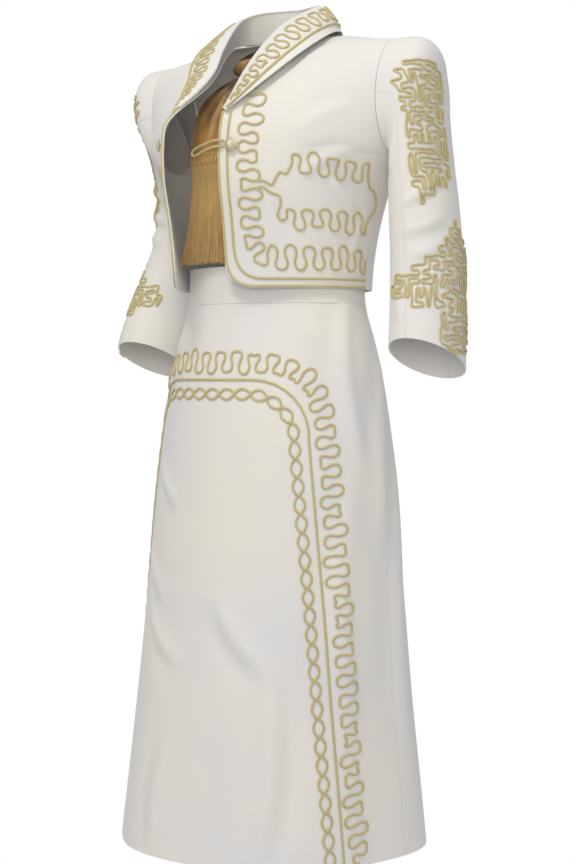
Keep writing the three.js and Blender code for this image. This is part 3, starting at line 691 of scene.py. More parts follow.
def snake(count, dice, boldness=1.0, per_wave=28):
    """A meander of lobes: its direction swings from side to side as it runs on.

    Every lobe gets its own head, from round to dented like a bone, and its own slant.
    It gives the distance along, one unit to a wave, and across, from -1 to 1."""
    t = np.linspace(0.25, count + 0.25, int(count * per_wave) + 1)
    lobes = np.arange(0, 2 * count + 2) / 2
    bone = np.interp(t, lobes, dice.uniform(0.1, 1.2, len(lobes)) * boldness)
    slants = dice.uniform(-LOBE["slant"], LOBE["slant"], len(lobes)) * boldness
    slant = np.interp(t, lobes, slants)
    wave = 2 * np.pi * t
    swing = (LOBE["swing"] - LOBE["flatter"] * bone) * np.sin(wave)
    swing -= LOBE["dent"] * bone * np.sin(3 * wave)
    heading = np.radians(swing + slant * np.sin(2 * wave))
    middle = (heading[1:] + heading[:-1]) / 2
    run = np.concatenate([[0], np.cumsum(np.cos(middle))])
    rise = np.concatenate([[0], np.cumsum(np.sin(middle))])
    crossings = np.arange(0.25, count + 0.3, 0.5)
    rise -= np.interp(t, crossings, np.interp(crossings, t, rise))
    run *= count / run[-1]
    run += np.interp(t, crossings, crossings - 0.25 - np.interp(crossings, t, run))
    return run, rise / np.percentile(np.abs(rise), 96)


def softened(line, reach, closed=False):
    """A flat line of even steps with its corners eased over reach steps each way."""
    mode = "wrap" if closed else "edge"
    kernel = np.hanning(2 * reach + 3)[1:-1]
    padded = np.pad(line, ((reach, reach), (0, 0)), mode=mode)
    columns = [np.convolve(padded[:, k], kernel / kernel.sum(), "valid") for k in range(2)]
    return np.stack(columns, axis=1)


def meander(line, pitch, width, seed, boldness=1.0):
    """A meander laid along a flat line, with hand-sewn unevenness."""
    s, centre = resample(line, 2)
    centre = softened(centre, 9)
    count = max(round(2 * s[-1] / pitch) / 2, 2)
    run, rise = snake(count, np.random.default_rng(seed), boldness)
    at = run / count * s[-1]
    aside = read_off(at, s, sideways(centre))
    return read_off(at, s, centre) + aside * (rise * width / 2)[:, None]


def vermicelli(field, pitch, seed):
    """Closed cords that wind through a field of cells and never meet themselves.

    Each runs round a tree that joins neighbouring cells in a random order."""
    dice = np.random.default_rng(seed)
    pairs = [
        (cell, other)
        for cell in sorted(field)
        for other in ((cell[0] + 1, cell[1]), (cell[0], cell[1] + 1))
        if other in field
    ]
    group = {cell: cell for cell in field}

    def root(cell):
        while group[cell] != cell:
            cell = group[cell]
        return cell

    tree = set()
    for k in dice.permutation(len(pairs)):
        one, other = pairs[k]
        if root(one) != root(other):
            group[root(one)] = root(other)
            tree |= {(one, other), (other, one)}

    def beside(x, y):
        cell = (x // 2, y // 2)
        right = 1 if x % 2 else -1
        up = 1 if y % 2 else -1
        out_x = (cell, (cell[0] + right, cell[1])) in tree
        out_y = (cell, (cell[0], cell[1] + up)) in tree
        return (x + right, y) if out_x else (x, y - up), (x, y + up) if out_y else (x - right, y)

    left = {(2 * i + a, 2 * j + b) for i, j in field for a in (0, 1) for b in (0, 1)}
    lines = []
    while left:
        path = []
        here = min(left)
        while here:
            left.discard(here)
            path.append(here)
            here = next((spot for spot in beside(*here) if spot in left), None)
        places = (np.array(path + path[:1], float) + 0.5) * pitch / 2
        places[:-1] += dice.uniform(-0.16, 0.16, (len(path), 2)) * pitch
        places[-1] = places[0]
        lines.append(softened(resample(places, 1.5)[1][:-1], 4, closed=True))
    return lines


def chain(line, pitch, width):
    """Two cords that cross again and again along a flat line, leaving ovals."""
    s, centre = resample(line, 2.5)
    turns = np.pi * s / s[-1] * round(s[-1] / pitch)
    swing = np.sin(turns)
    strands = []
    for turn in (1, -1):
        rise = turn * np.sign(swing) * np.abs(swing) ** 0.75 * width / 2
        strands.append((centre + sideways(centre) * rise[:, None], turn * np.cos(turns)))
    return strands


# ---------------------------------------------------------------------- shader maths
class Value:
    """A number or colour of a material: arithmetic on it adds Math nodes."""

    def __init__(self, finish, socket):
        self.finish = finish
        self.socket = socket

    def _math(self, operation, other):
        sockets = {0: self, 1: other}
        return self.finish.node("ShaderNodeMath", {"operation": operation}, sockets)

    def __add__(self, other):
        return self._math("ADD", other)

    def __sub__(self, other):
        return self._math("SUBTRACT", other)

    def __mul__(self, other):
        return self._math("MULTIPLY", other)

    def __pow__(self, other):
        return self._math("POWER", other)


class Finish:
    """A material whose nodes are made by one method."""

    def __init__(self, name, **constants):
        self.material = bpy.data.materials.new(name)
        self.material.use_nodes = True
        self.tree = self.material.node_tree
        self.shader = self.tree.nodes["Principled BSDF"]
        for key, value in constants.items():
            self.shader.inputs[key.replace("_", " ")].default_value = value

    def node(self, kind, settings=None, sockets=None, output=0):
        made = self.tree.nodes.new(kind)
        for key, value in (settings or {}).items():
            setattr(made, key, value)
        for key, value in (sockets or {}).items():
            if isinstance(value, Value):
                self.tree.links.new(value.socket, made.inputs[key])
            else:
                made.inputs[key].default_value = value
        return Value(self, made.outputs[output])

    def place(self, stretch=(1, 1, 1)):
        """Object coordinates in metres, stretched along each axis."""
        coordinates = self.node("ShaderNodeTexCoord", output=3)
        return self.node("ShaderNodeMapping", {}, {"Vector": coordinates, "Scale": stretch})

    def noise(self, scale, detail=2.0, stretch=(1, 1, 1)):
        sockets = {"Vector": self.place(stretch), "Scale": scale, "Detail": detail}
        return self.node("ShaderNodeTexNoise", {}, sockets)

    def waves(self, scale, stretch=(1, 1, 1), direction="DIAGONAL"):
        settings = {"wave_type": "BANDS", "bands_direction": direction}
        sockets = {"Vector": self.place(stretch), "Scale": scale, "Distortion": 0.6}
        sockets["Detail"] = 1.0
        return self.node("ShaderNodeTexWave", settings, sockets, 1)

    def blend(self, mask, first, second):
        """Two colours mixed by a mask."""
        settings = {"data_type": "RGBA"}
        sockets = {0: mask, 6: first, 7: second}
        return self.node("ShaderNodeMix", settings, sockets, 2)

    def bump(self, height, distance, strength=1.0):
        sockets = {"Height": height, "Distance": distance, "Strength": strength}
        return self.node("ShaderNodeBump", {}, sockets)

    def feed(self, **links):
        for key, value in links.items():
            self.tree.links.new(value.socket, self.shader.inputs[key.replace("_", " ")])
        return self.material


def shade(colour, factor=1):
    """A colour made lighter or darker, with an opaque alpha."""
    return tuple(min(c * factor, 1) for c in colour[:3]) + (1,)


def ivory_gabardine(colours):
    finish = Finish(
        "ivory_gabardine",
        Sheen_Weight=0.2,
        Sheen_Roughness=0.4,
        Specular_IOR_Level=0.25,
        Subsurface_Weight=0.35,
        Subsurface_Radius=(1, 0.92, 0.8),
        Subsurface_Scale=0.003,
    )
    broad = finish.noise(5, 2)
    fibres = finish.noise(900, 3)
    # Painted shade: broad random patches turn the ivory towards its cooler, greyer shaded copy.
    painted_shade_patches = finish.blend(broad * 3 - 1, shade(colours.ivory), shade(colours.shaded))
    nap = finish.blend(fibres * 0.4, painted_shade_patches, shade(colours.ivory, 1.06))
    twill = finish.waves(560, (1, 1, 0.9))
    weave = twill * 0.7 + finish.noise(1500, 2) * 0.5
    soft = finish.noise(45, 3)
    rough = soft * 0.08 + 0.78
    bumps = finish.bump(weave + soft * 1.5, 0.00012, 0.35)
    return finish.feed(Base_Color=nap, Roughness=rough, Normal=bumps)


def gold_soutache(colours):
    finish = Finish("gold_soutache", Sheen_Weight=0.1)
    broad = finish.noise(26, 2)
    thread = finish.noise(1100, 2)
    gold = finish.blend(broad, shade(colours.gold), shade(colours.gold, 0.78))
    glints = finish.blend(thread ** 2, gold, shade(colours.gold, 1.35))
    braid = finish.waves(900)
    rough = thread * 0.25 + 0.34
    metal = thread * 0.15 + 0.1
    bumps = finish.bump(braid + thread * 0.6, 0.0003, 0.6)
    return finish.feed(Base_Color=glints, Roughness=rough, Metallic=metal, Normal=bumps)


def bronze_satin(colours):
    sheen = {"Sheen_Weight": 0.3, "Sheen_Roughness": 0.3}
    finish = Finish("bronze_satin", Specular_IOR_Level=0.65, **sheen)
    broad = finish.noise(30, 3, (1, 1, 0.4))
    # Painted shade: towards its top, by the knot and under the collar, the satin is blended in
    # broad patches towards a much darker copy.
    height = finish.node("ShaderNodeSeparateXYZ", {}, {"Vector": finish.place()}, 2)
    upper = (height * 13 + 2.1) * (broad * 3.4 - 0.9)
    lit = finish.blend(broad, shade(colours.satin, 1.6), shade(colours.satin, 0.8))
    satin_with_painted_shade = finish.blend(upper, lit, shade(colours.satin, 0.2))
    weft = finish.waves(1400, (0.15, 0.15, 1), "Z")
    rough = broad * 0.12 + 0.3
    bumps = finish.bump(weft * 0.4 + finish.noise(120, 3, (1, 1, 0.3)), 0.00025, 0.4)
    return finish.feed(Base_Color=satin_with_painted_shade, Roughness=rough, Normal=bumps)


def gold_fringe(colours):
    finish = Finish("gold_fringe", Sheen_Weight=0.2)
    strand = finish.noise(420, 2, (1, 1, 0.02))
    light = finish.blend(strand, shade(colours.fringe, 0.55), shade(colours.fringe, 1.35))
    twist = finish.waves(700)
    rough = strand * 0.2 + 0.38
    bumps = finish.bump(twist, 0.0002, 0.6)
    return finish.feed(Base_Color=light, Roughness=rough, Normal=bumps)


def button_metal(colours):
    finish = Finish("button_metal", Metallic=0.6)
    wear = finish.noise(260, 3)
    colour = finish.blend(wear, shade(colours.button), shade(colours.button, 0.8))
    scroll = finish.waves(330)
    bumps = finish.bump(scroll, 0.0006, 0.5)
    return finish.feed(Base_Color=colour, Roughness=wear * 0.2 + 0.28, Normal=bumps)


MAKERS = {
    "ivory_cloth": ivory_gabardine,
    "gold_cord": gold_soutache,
    "bronze_satin": bronze_satin,
    "gold_fringe": gold_fringe,
    "button_metal": button_metal,
}
FINISHES = {}


def finish_for(slot):
    """The material of a slot of the record, made once."""
    if slot not in FINISHES:
        FINISHES[slot] = MAKERS[slot](bpy.context.scene.suit_colours)
    return FINISHES[slot]


# ------------------------------------------------------------------ the cloth pieces
FRONT_FOLDS = {
    1: creases(
        (150, 40, 96, 170, 2.6, 11),
        (206, 250, 120, 300, 2.8, 9),
        (196, 190, 110, 236, 2.4, 9),
        (60, 430, 74, 260, 1.6, 12),
        (214, 370, 150, 290, 2.4, 9),
        (118, 100, 160, 190, 2.0, 13),
        (228, 340, 196, 420, 2.0, 9),
    ),
    -1: creases(
        (-150, 50, -100, 165, 2.6, 11),
        (-196, 240, -118, 290, 2.8, 9),
        (-40, 430, -52, 250, 2.6, 10),
        (-180, 180, -120, 208, 2.0, 9),
    ),
}
BACK_FOLDS = creases(
    (-160, 70, -90, 190, 2.6, 11),
    (158, 80, 96, 176, 2.7, 12),
    (-60, 130, -20, 330, 1.8, 16),
    (54, 110, 24, 300, 1.9, 15),
    (-172, 230, -110, 266, 2.8, 9),
    (176, 240, 104, 282, 2.6, 9),
    (-150, 330, -60, 300, 2.2, 10),
    (140, 350, 50, 318, 2.2, 10),
)
SLEEVE_FOLDS = {
    1: creases(
        (-92, 290, -26, 252, 3.0, 8),
        (-96, 336, -16, 306, 3.4, 9),
        (-84, 374, -34, 352, 2.4, 8),
        (60, 70, 92, 170, 2.4, 10),
        (-112, 120, -98, 230, 2.4, 9),
        (20, 330, 66, 420, 2.0, 13),
        (70, 300, 96, 340, 2.2, 9),
        (-104, 430, -96, 500, 2.0, 10),
    ),
    -1: creases(
        (-100, 250, -24, 236, 3.4, 8),
        (-104, 296, -14, 276, 3.8, 9),
        (-94, 338, -30, 322, 3.0, 8),
        (64, 60, 90, 150, 2.4, 10),
        (30, 330, 60, 410, 2.0, 12),
    ),
}
SKIRT_CREASES = creases(
    (-190, 70, -60, 20, 2.6, 11),
    (-200, 130, -96, 66, 3.0, 12),
    (-150, 226, -66, 300, 4.4, 12),
    (-170, 352, -84, 436, 4.8, 13),
    (-146, 436, -30, 524, 5.2, 14),
    (16, 420, 112, 530, 6.4, 15),
    (106, 806, 98, 500, 8.5, 17),
    (-40, 600, -64, 800, 5.0, 17),
    (120, 30, 196, 90, 2.2, 11),
    (170, -30, 236, 260, 5.6, 15),
    (204, 250, 248, 640, 5.0, 19),
    (270, 60, 300, 420, 4.0, 18),
    (330, 200, 366, 700, 5.4, 20),
    (420, 90, 430, 520, 4.0, 20),
    (500, 240, 540, 780, 5.2, 22),
    (-290, 90, -330, 540, 4.0, 19),
    (-380, 240, -410, 780, 5.2, 22),
    (-470, 80, -480, 500, 4.0, 20),
)


def front_cloth(side):
    place = jacket_half("front", side)
    inside = (side * 60, 0, -200)
    return Cloth(place, (0.0, 1.0), (1.0, 0.0), 0.0, inside, FRONT_FOLDS[side])


def back_place(share, level):
    """The whole back: share runs from -1 on the right to 1 on the left."""
    share = np.asarray(share, float)
    points = jacket_body("back", np.abs(share), np.minimum(level, 1))
    points[..., 0] *= np.where(share < 0, -1, 1)
    return points


def skirt_ring(degrees, z):
    """Places round the skirt: 0 degrees is the centre front, 90 the wearer's left."""
    degrees, z = floats(degrees, z)
    t = share_of(SKIRT_ROWS["z"], z)
    deep = np.zeros(degrees.shape)
    for centre, depth, width, top_z in zip(*SKIRT_FOLDS.values()):
        off = (degrees - centre + 540) % 360 - 180
        deep = deep + depth * smooth(top_z, SKIRT_HEM_Z, z) * np.exp(-((off / width) ** 2))
    turn = np.radians(degrees)
    x = along(SKIRT_ROWS["mid_x"], t) + (along(SKIRT_ROWS["half_x"], t) + deep) * np.sin(turn)
    y = -(along(SKIRT_ROWS["half_y"], t) + deep) * np.cos(turn)
    return stack(x, y, z)


def skirt_cloth(start):
    """The skirt's cloth, charted round a whole turn from an angle on."""
    span = (start, start + 360.0), (WAISTBAND_HEM_Z, SKIRT_HEM_Z)
    return Cloth(skirt_ring, *span, 0.0, (0, 0, -700), SKIRT_CREASES)


class CollarShape:
    """The shawl collar: a stand that rises from the neck edge, and a fall over it."""

    def __init__(self):
        self.edges = {side: self._stations(side) for side in (1, -1)}

    def _stations(self, side):
        found = {"neck": [], "roll": [], "edge": []}
        for panel, neck, dx, dy, dz, share, level, lift in zip(*COLLAR_STATIONS.values()):
            half = Cloth(jacket_half(panel, side), (0.0, 1.0), (1.0, 0.0), 0.0, (0, 0, -200))
            back = panel == "back"
            at_share = neck if back else float(front_edge(neck)) + 0.006
            at_level = float(neck_level(neck)) if back else neck
            foot = half.at(at_share, at_level, NECK_LIFT)
            found["neck"].append(foot)
            found["roll"].append(foot + np.array([side * dx, dy, dz]))
            found["edge"].append(half.at(share, level, lift))
        return {key: np.array(value) for key, value in found.items()}

    def _half(self, reach, across, side):
        line = {}
        for key, places in self.edges[side].items():
            line[key] = np.stack([along(places[:, k], reach) for k in range(3)], axis=-1)
        level_out = line["edge"] - line["neck"]
        level_out[..., 2] = 0
        outward = unit(level_out)
        taper = smooth(1.06, 0.8, reach)[..., None]
        fold = line["roll"] + outward * ROLL_WIDTH * taper
        t = np.clip((across - ROLL_ACROSS) / (1 - ROLL_ACROSS), 0, 1)[..., None]
        crown = np.sin(np.pi / 2 * np.minimum(t / COLLAR_FALL["crown"], 1))
        share = smooth(-0.25, 1.25, t) * t**0.2
        fall = lerp(lerp(line["roll"], fold, crown), line["edge"], share)
        rise = COLLAR_FALL["rise"] * taper * np.sin(np.pi * np.clip(t * 1.1, 0, 1))
        fall[..., 2] += rise[..., 0]
        fall += outward * COLLAR_FALL["swell"] * taper * np.sin(np.pi * t)
        low = np.clip(across / ROLL_ACROSS, 0, 1)[..., None]
        stand = lerp(line["neck"], line["roll"], low)
        return np.where((across < ROLL_ACROSS)[..., None], stand, fall)

    def place(self, reach, across):
        """reach runs from -1 at the right point over 0 at the nape to 1 at the left."""
        reach, across = floats(reach, across)
        left = self._half(np.abs(reach), across, 1)
        right = self._half(np.abs(reach), across, -1)
        return np.where((reach >= 0)[..., None], left, right)


class Suit:
    """The suit's surfaces, made once and shared by the pieces that lie on them."""

    def __init__(self):
        self.front = {side: front_cloth(side) for side in (1, -1)}
        back = (-1.0, 1.0), (1.0, 0.0), 0.0, (0, 0, -200)
        self.back = Cloth(back_place, *back, BACK_FOLDS)
        self.sleeve = {side: self._sleeve(side) for side in (1, -1)}
        self.skirt = skirt_cloth(-180.0)
        place = CollarShape().place
        self.collar = Cloth(place, (-1.0, 1.0), (0.0, 1.0), 0.0, (0, 0, -20))

    @staticmethod
    def _sleeve(side):
        def place(degrees, t):
            return sleeve_ring(np.asarray(t, float), degrees, side)

        middle = (sleeve_ring(0.5, 0.0, side) + sleeve_ring(0.5, 180.0, side)) / 2
        return Cloth(place, (-90.0, 270.0), (0.0, 1.0), 180.0, middle, SLEEVE_FOLDS[side])


SUIT = Suit()


def declare(outer, node):
    """Hides the model's part for a piece of cloth, and works out the size the piece was cut to,
    which nothing uses.
    """
    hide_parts(node)
    flat = tuple(round(float(steps_of(outer, k).sum(axis=k).max()) * MM, 3) for k in (1, 0))
    area = min(round(flat_area(outer), 5), flat[0] * flat[1])


def build_cloth(name, cloth, a, b, thickness, rests_on, node, slot="ivory_cloth"):
    """A piece of draped cloth over a grid of places a and b on its surface."""
    outer = cloth.at(a, b)
    piece = cloth_piece(name, outer, cloth.at(a, b, -thickness), slot)
    declare(outer, node)


def half_turn(start, count):
    """Angles from seam to seam round half of a sleeve or a skirt."""
    return np.linspace(start + SEAM_DEGREES, start + 180 - SEAM_DEGREES, count)[None, :]


class SUIT_OT_jacket_body(bpy.types.Operator):
    """Makes the jacket's back and its two fronts"""

    bl_idname = "suit.jacket_body"
    bl_label = "Jacket Body"

    def execute(self, context):
        thickness = context.scene.suit_sizes.cloth / MM
        u = np.linspace(0, 1, 84)[None, :]
        v = (np.linspace(0, 1, 110)[:, None] ** 1.5) * SHOULDER_LEVEL
        for name, side in SIDES.items():
            share = lerp(front_edge(v), 1 - SEAM_TRIM, u)
            grids = share, np.broadcast_to(v, share.shape)
            names = ["sleeve_top_" + name], "jacket_front_" + name
            build_cloth("front_" + name, SUIT.front[side], *grids, thickness, *names)
        share = np.linspace(-1, 1, 150)[None, :] * (1 - SEAM_TRIM)
        level = np.linspace(0, 1, 96)[:, None] * neck_level(share)
        share = np.broadcast_to(share, level.shape)
        rests_on = ["sleeve_top_left", "sleeve_top_right"]
        build_cloth("back", SUIT.back, share, level, thickness, rests_on, "jacket_back")
        return {"FINISHED"}


class SUIT_OT_sleeves(bpy.types.Operator):
    """Makes the two-piece three-quarter sleeves"""

    bl_idname = "suit.sleeves"
    bl_label = "Sleeves"

    def execute(self, context):
        thickness = context.scene.suit_sizes.cloth / MM
        t = np.linspace(0, 1, 120)[:, None] ** 1.1
        for name, side in SIDES.items():
            cloth = SUIT.sleeve[side]
            for half, start, count in (("top", 90, 90), ("under", -90, 70)):
                grids = np.broadcast_arrays(half_turn(start, count), t)
                names = ["jacket_front_" + name], f"sleeve_{half}_{name}"
                build_cloth(f"{half}_sleeve_{name}", cloth, *grids, thickness, *names)
        return {"FINISHED"}


class SUIT_OT_collar(bpy.types.Operator):
    """Makes the shawl collar from point to point"""

    bl_idname = "suit.collar"
    bl_label = "Shawl Collar"

    def execute(self, context):
        thickness = context.scene.suit_sizes.cloth / MM
        reach = np.linspace(-1, 1, 181)[None, :]
        stretches = (0, 0.3, 10), (0.31, 0.44, 12), (0.46, 1, 26)
        across = np.concatenate([np.linspace(*stretch) for stretch in stretches])
        grids = np.broadcast_arrays(reach, across[:, None])
        names = ["jacket_back"], "shawl_collar"
        build_cloth("collar", SUIT.collar, *grids, thickness, *names)
        return {"FINISHED"}


class SUIT_OT_skirt(bpy.types.Operator):
    """Makes the skirt's two panels and its waistband"""

    bl_idname = "suit.skirt"
    bl_label = "Skirt"

    def execute(self, context):
        thickness = context.scene.suit_sizes.cloth / MM
        z = np.linspace(WAISTBAND_HEM_Z - SEAM_GAP, SKIRT_HEM_Z, 170)[:, None]
        panels = ("front", -90, SUIT.skirt), ("back", 90, skirt_cloth(0.0))
        for name, start, cloth in panels:
            grids = np.broadcast_arrays(half_turn(start, 150), z)
            names = ["skirt_waistband"], "skirt_" + name
            build_cloth(f"skirt_{name}_panel", cloth, *grids, thickness, *names)
        degrees = np.linspace(SEAM_DEGREES - 180, 180 - SEAM_DEGREES, 200)[None, :]
        span = WAISTBAND_TOP_Z, WAISTBAND_HEM_Z
        grids = np.broadcast_arrays(degrees, np.linspace(*span, 14)[:, None])
        cloth = Cloth(skirt_ring, (-180.0, 180.0), span, 0.0, (0, 0, np.mean(span)))
        names = ["skirt_front"], "skirt_waistband"
        build_cloth("waistband", cloth, *grids, WAISTBAND_WALL, *names)
        return {"FINISHED"}


# ------------------------------------------------------------------------ soutache
SIDE_ACROSS = 232


def front_line(inset, inset_at_side, corner_radius):
    """A line beside a front's edge: from the side along the hem and up to the collar."""
    hem = JACKET_HEM_Z + inset_at_side
    corners = [(SIDE_ACROSS, hem), (inset, hem), (inset, BREAK_Z + 2)]
    return rounded(corners, corner_radius)


def lay_on_front(strands, line, side, cord, step=2.4):
    """Sews a flat line, given by its distance across and its height, on a front."""
    line = resample(line, step)[1]
    strands.lay(SUIT.front[side], line[:, 0], level_at(line[:, 1]), cord)


class Cord:
    """The section of a soutache cord, and how high its middle lies over the cloth."""

    def __init__(self, width):
        self.half_width = width / 2
        self.half_height = width * 0.38
        self.lift = width * 0.3


# Each place is its distance across from the front's centre line and its height.
FRONT_BAND = rounded([(226, -342), (118, -340), (45, -342), (49, -250), (51, -97)], 34)
FRONT_BAND_WIDTH = 36
WAVE_PITCH = 27
CHEST_ROWS = {
    "upper": (((110, -206), (168, -204), (230, -212)), 26.5),
    "lower": (((96, -284), (160, -283), (226, -287)), 26.0),
}
CHEST_ROW_HEIGHT = 34
CHEST_LINKS = {
    "in": ((60, -232), (72, -231), (83, -238), (87, -230), (95, -217), (104, -222)),
    "side": ((229, -222), (232, -232), (242, -235), (248, -246), (246, -260), (235, -272)),
    "out": ((90, -288), (85, -279), (92, -264), (93, -252), (80, -248), (70, -239), (58, -242)),
}


class SUIT_OT_front_soutache(bpy.types.Operator):
    """Sews the two plain lines, the meander and the chest frame on both fronts"""

    bl_idname = "suit.front_soutache"
    bl_label = "Front Soutache"

    def execute(self, context):
        cord = Cord(context.scene.suit_sizes.cord / MM)
        for name, side in SIDES.items():
            self._plain_lines(name, side, cord)
            strands = Strands()
            wave = meander(FRONT_BAND, WAVE_PITCH, FRONT_BAND_WIDTH, SEEDS["front"])
            lay_on_front(strands, wave, side, cord)
            self._chest_frame(strands, side, cord)
            strands.piece("front_soutache_" + name)
        return {"FINISHED"}

    @staticmethod
    def _plain_lines(name, side, cord):
        lines = {
            "edge_cord_": front_line(EDGE_INSET, EDGE_INSET, FRONT_CORNER_RADIUS + 14),
            "inner_cord_": front_line(PIPING_INSET, PIPING_INSET_AT_SIDE, PIPING_CORNER),
        }
        for node, line in lines.items():
            strands = Strands()
            lay_on_front(strands, line, side, cord, 3)
            piece = strands.piece(node + "braid_" + name)
            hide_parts(node + name)

    @staticmethod
    def _chest_frame(strands, side, cord):
        """Two rows of meander, linked at both ends into one run of cord."""
        rows_of = {}
        for seed, (name, (line, pitch)) in enumerate(CHEST_ROWS.items(), SEEDS["chest"]):
            rows_of[name] = meander(np.array(line, float), pitch, CHEST_ROW_HEIGHT, seed)
        links = CHEST_LINKS
        run = [links["in"], rows_of["upper"], links["side"], rows_of["lower"][::-1], links["out"]]
        line = resample(np.concatenate(run), 1.6)[1]
        lay_on_front(strands, softened(line, 3), side, cord)


class SUIT_OT_collar_soutache(bpy.types.Operator):
    """Sews the plain line and the meander on the shawl collar"""

    bl_idname = "suit.collar_soutache"
    bl_label = "Collar Soutache"

    def execute(self, context):
        cord = Cord(context.scene.suit_sizes.cord / MM)
        cloth = SUIT.collar
        strands = Strands()
        reach = np.linspace(-1, 1, 260) * COLLAR_LINE["reach"]
        line = np.full_like(reach, COLLAR_LINE["across"])
        strands.add(cloth.at(reach, line, cord.lift), cloth.normal(reach, line), cord.half_width)
        work = COLLAR_MEANDER
        run, rise = snake(work["waves"], np.random.default_rng(SEEDS["collar"]), 0.9)
        share = run / work["waves"] * 2 - 1
        taper = smooth(1.0, 0.75, np.abs(share) * 0.95)
        reach = share * work["reach"]
        across = work["across"] + rise * work["half_width"] * (0.35 + 0.65 * taper)
        path = cloth.at(reach, across, cord.lift)
        strands.add(path, cloth.normal(reach, across), cord.half_width, cord.half_height)
        strands.piece("collar_soutache")
        return {"FINISHED"}


def border_line(offset):
    """The skirt's upside-down U, moved outwards by offset, in millimetres on the cloth."""
    top = BORDER["top_z"] + offset
    corner = BORDER["corner"] + offset * 0.8

    def leg(z):
        up = (z - SKIRT_HEM_Z) / (BORDER["leg_top_z"] - SKIRT_HEM_Z)
        return offset + lerp(BORDER["leg_hem"], BORDER["leg_top"], min(up, 1.2))

    corner_z = top - corner
    half = [(leg(z), z) for z in np.linspace(SKIRT_HEM_Z + 3, corner_z, 13)]
    corner_x = leg(corner_z) - corner
    for k in range(1, 9):
        turn = math.pi / 2 * k / 8
        half.append((corner_x + corner * math.cos(turn), corner_z + corner * math.sin(turn)))
    half.append((corner_x / 2, top))
    other = [(-x, z) for x, z in reversed(half)]
    line = np.array(half + [(0, top)] + other)
    line[:, 0] += BORDER["shift"]
    return line


class SUIT_OT_skirt_soutache(bpy.types.Operator):
    """Sews the meander, the plain line and the crossed chain of the skirt's border"""

    bl_idname = "suit.skirt_soutache"
    bl_label = "Skirt Soutache"

    def execute(self, context):
        cord = Cord(context.scene.suit_sizes.cord / MM)
        work = dict(BORDER_MEANDER)
        wave = meander(border_line(work.pop("offset")), seed=SEEDS["border"], **work)
        for part, flat in (("braid", border_line(0)), ("meander", wave)):
            strands = Strands()
            line = resample(flat, 2.6)[1]
            strands.lay(SUIT.skirt, *line.T, cord)
            piece = strands.piece("skirt_border_" + part)
            if part == "braid":
                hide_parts("skirt_border_cord")
        work = BORDER_CHAIN
        strands = Strands()
        for strand, over in chain(border_line(work["offset"]), work["pitch"], work["width"]):
            line = resample(strand, 2.4)[1]
            run = np.linspace(0, len(over) - 1, len(line))
            lift = work["lift"] * np.interp(run, np.arange(len(over)), over)
            strands.lay(SUIT.skirt, *line.T, cord, lift)
        strands.piece("skirt_border_chain")
        return {"FINISHED"}


# The outline of a sleeve's scroll work: angles round the sleeve, with the front at 90 and
# the outer line at 180, and the heights between which the work is sewn there.
UPPER_FIELD = rows(
    "degrees top hem",
    (99, -96, -138),
    (108, -86, -150),
    (115, -74, -268),
    (132, -64, -272),
    (150, -60, -254),
    (170, -64, -244),
    (184, -72, -236),
)
LOWER_FIELD = rows(
    "degrees top hem",
    (62, -374, -400),
    (76, -362, -408),
    (101, -352, -412),
    (126, -336, -420),
    (142, -328, -424),
    (145, -322, -474),
    (162, -304, -484),
    (180, -288, -488),
    (198, -304, -484),
    (215, -322, -474),
    (218, -328, -424),
    (234, -336, -420),
    (259, -352, -412),
    (284, -362, -408),
    (298, -374, -400),
)
MM_PER_DEGREE = 1.2
SCROLL_PITCH = 13


def cells_of(field):
    """The cells of a sleeve's scroll work that lie within its outline."""
    degrees = np.array(field["degrees"], float)
    across = np.arange(*(np.floor(degrees[[0, -1]] * MM_PER_DEGREE / SCROLL_PITCH) + [0, 1]))
    cells = set()
    for i in across.astype(int):
        middle = (i + 0.5) * SCROLL_PITCH / MM_PER_DEGREE
        top, hem = (np.interp(middle, degrees, field[key]) for key in ("top", "hem"))
        low = math.ceil(hem / SCROLL_PITCH - 0.3)
        cells |= {(int(i), j) for j in range(low, math.floor(top / SCROLL_PITCH + 0.3))}
    return cells


def ring_at(degrees, z, side):
    """How far down a sleeve its surface reaches a height at an angle."""
    return bisect(lambda t: sleeve_ring(t, degrees, side)[..., 2] > z, np.shape(z))


class SUIT_OT_sleeve_soutache(bpy.types.Operator):
    """Sews the dense scroll work on the outside of both sleeves"""

    bl_idname = "suit.sleeve_soutache"
    bl_label = "Sleeve Soutache"

    def execute(self, context):
        cord = Cord(context.scene.suit_sizes.cord / MM)
        for name, side in SIDES.items():
            strands = Strands(5)
            for seed, field in enumerate((UPPER_FIELD, LOWER_FIELD), SEEDS["scroll"]):
                for line in vermicelli(cells_of(field), SCROLL_PITCH, seed):
                    self._lay(strands, side, line, cord)
            strands.piece("sleeve_soutache_" + name)
        return {"FINISHED"}

    @staticmethod
    def _lay(strands, side, line, cord):
        degrees = line[:, 0] / MM_PER_DEGREE
        t = ring_at(degrees, line[:, 1], side)
        cloth = SUIT.sleeve[side]
        path = cloth.at(degrees, t, cord.lift)
        normals = cloth.normal(degrees, t)
        strands.add(path, normals, cord.half_width, cord.half_height, closed=True)


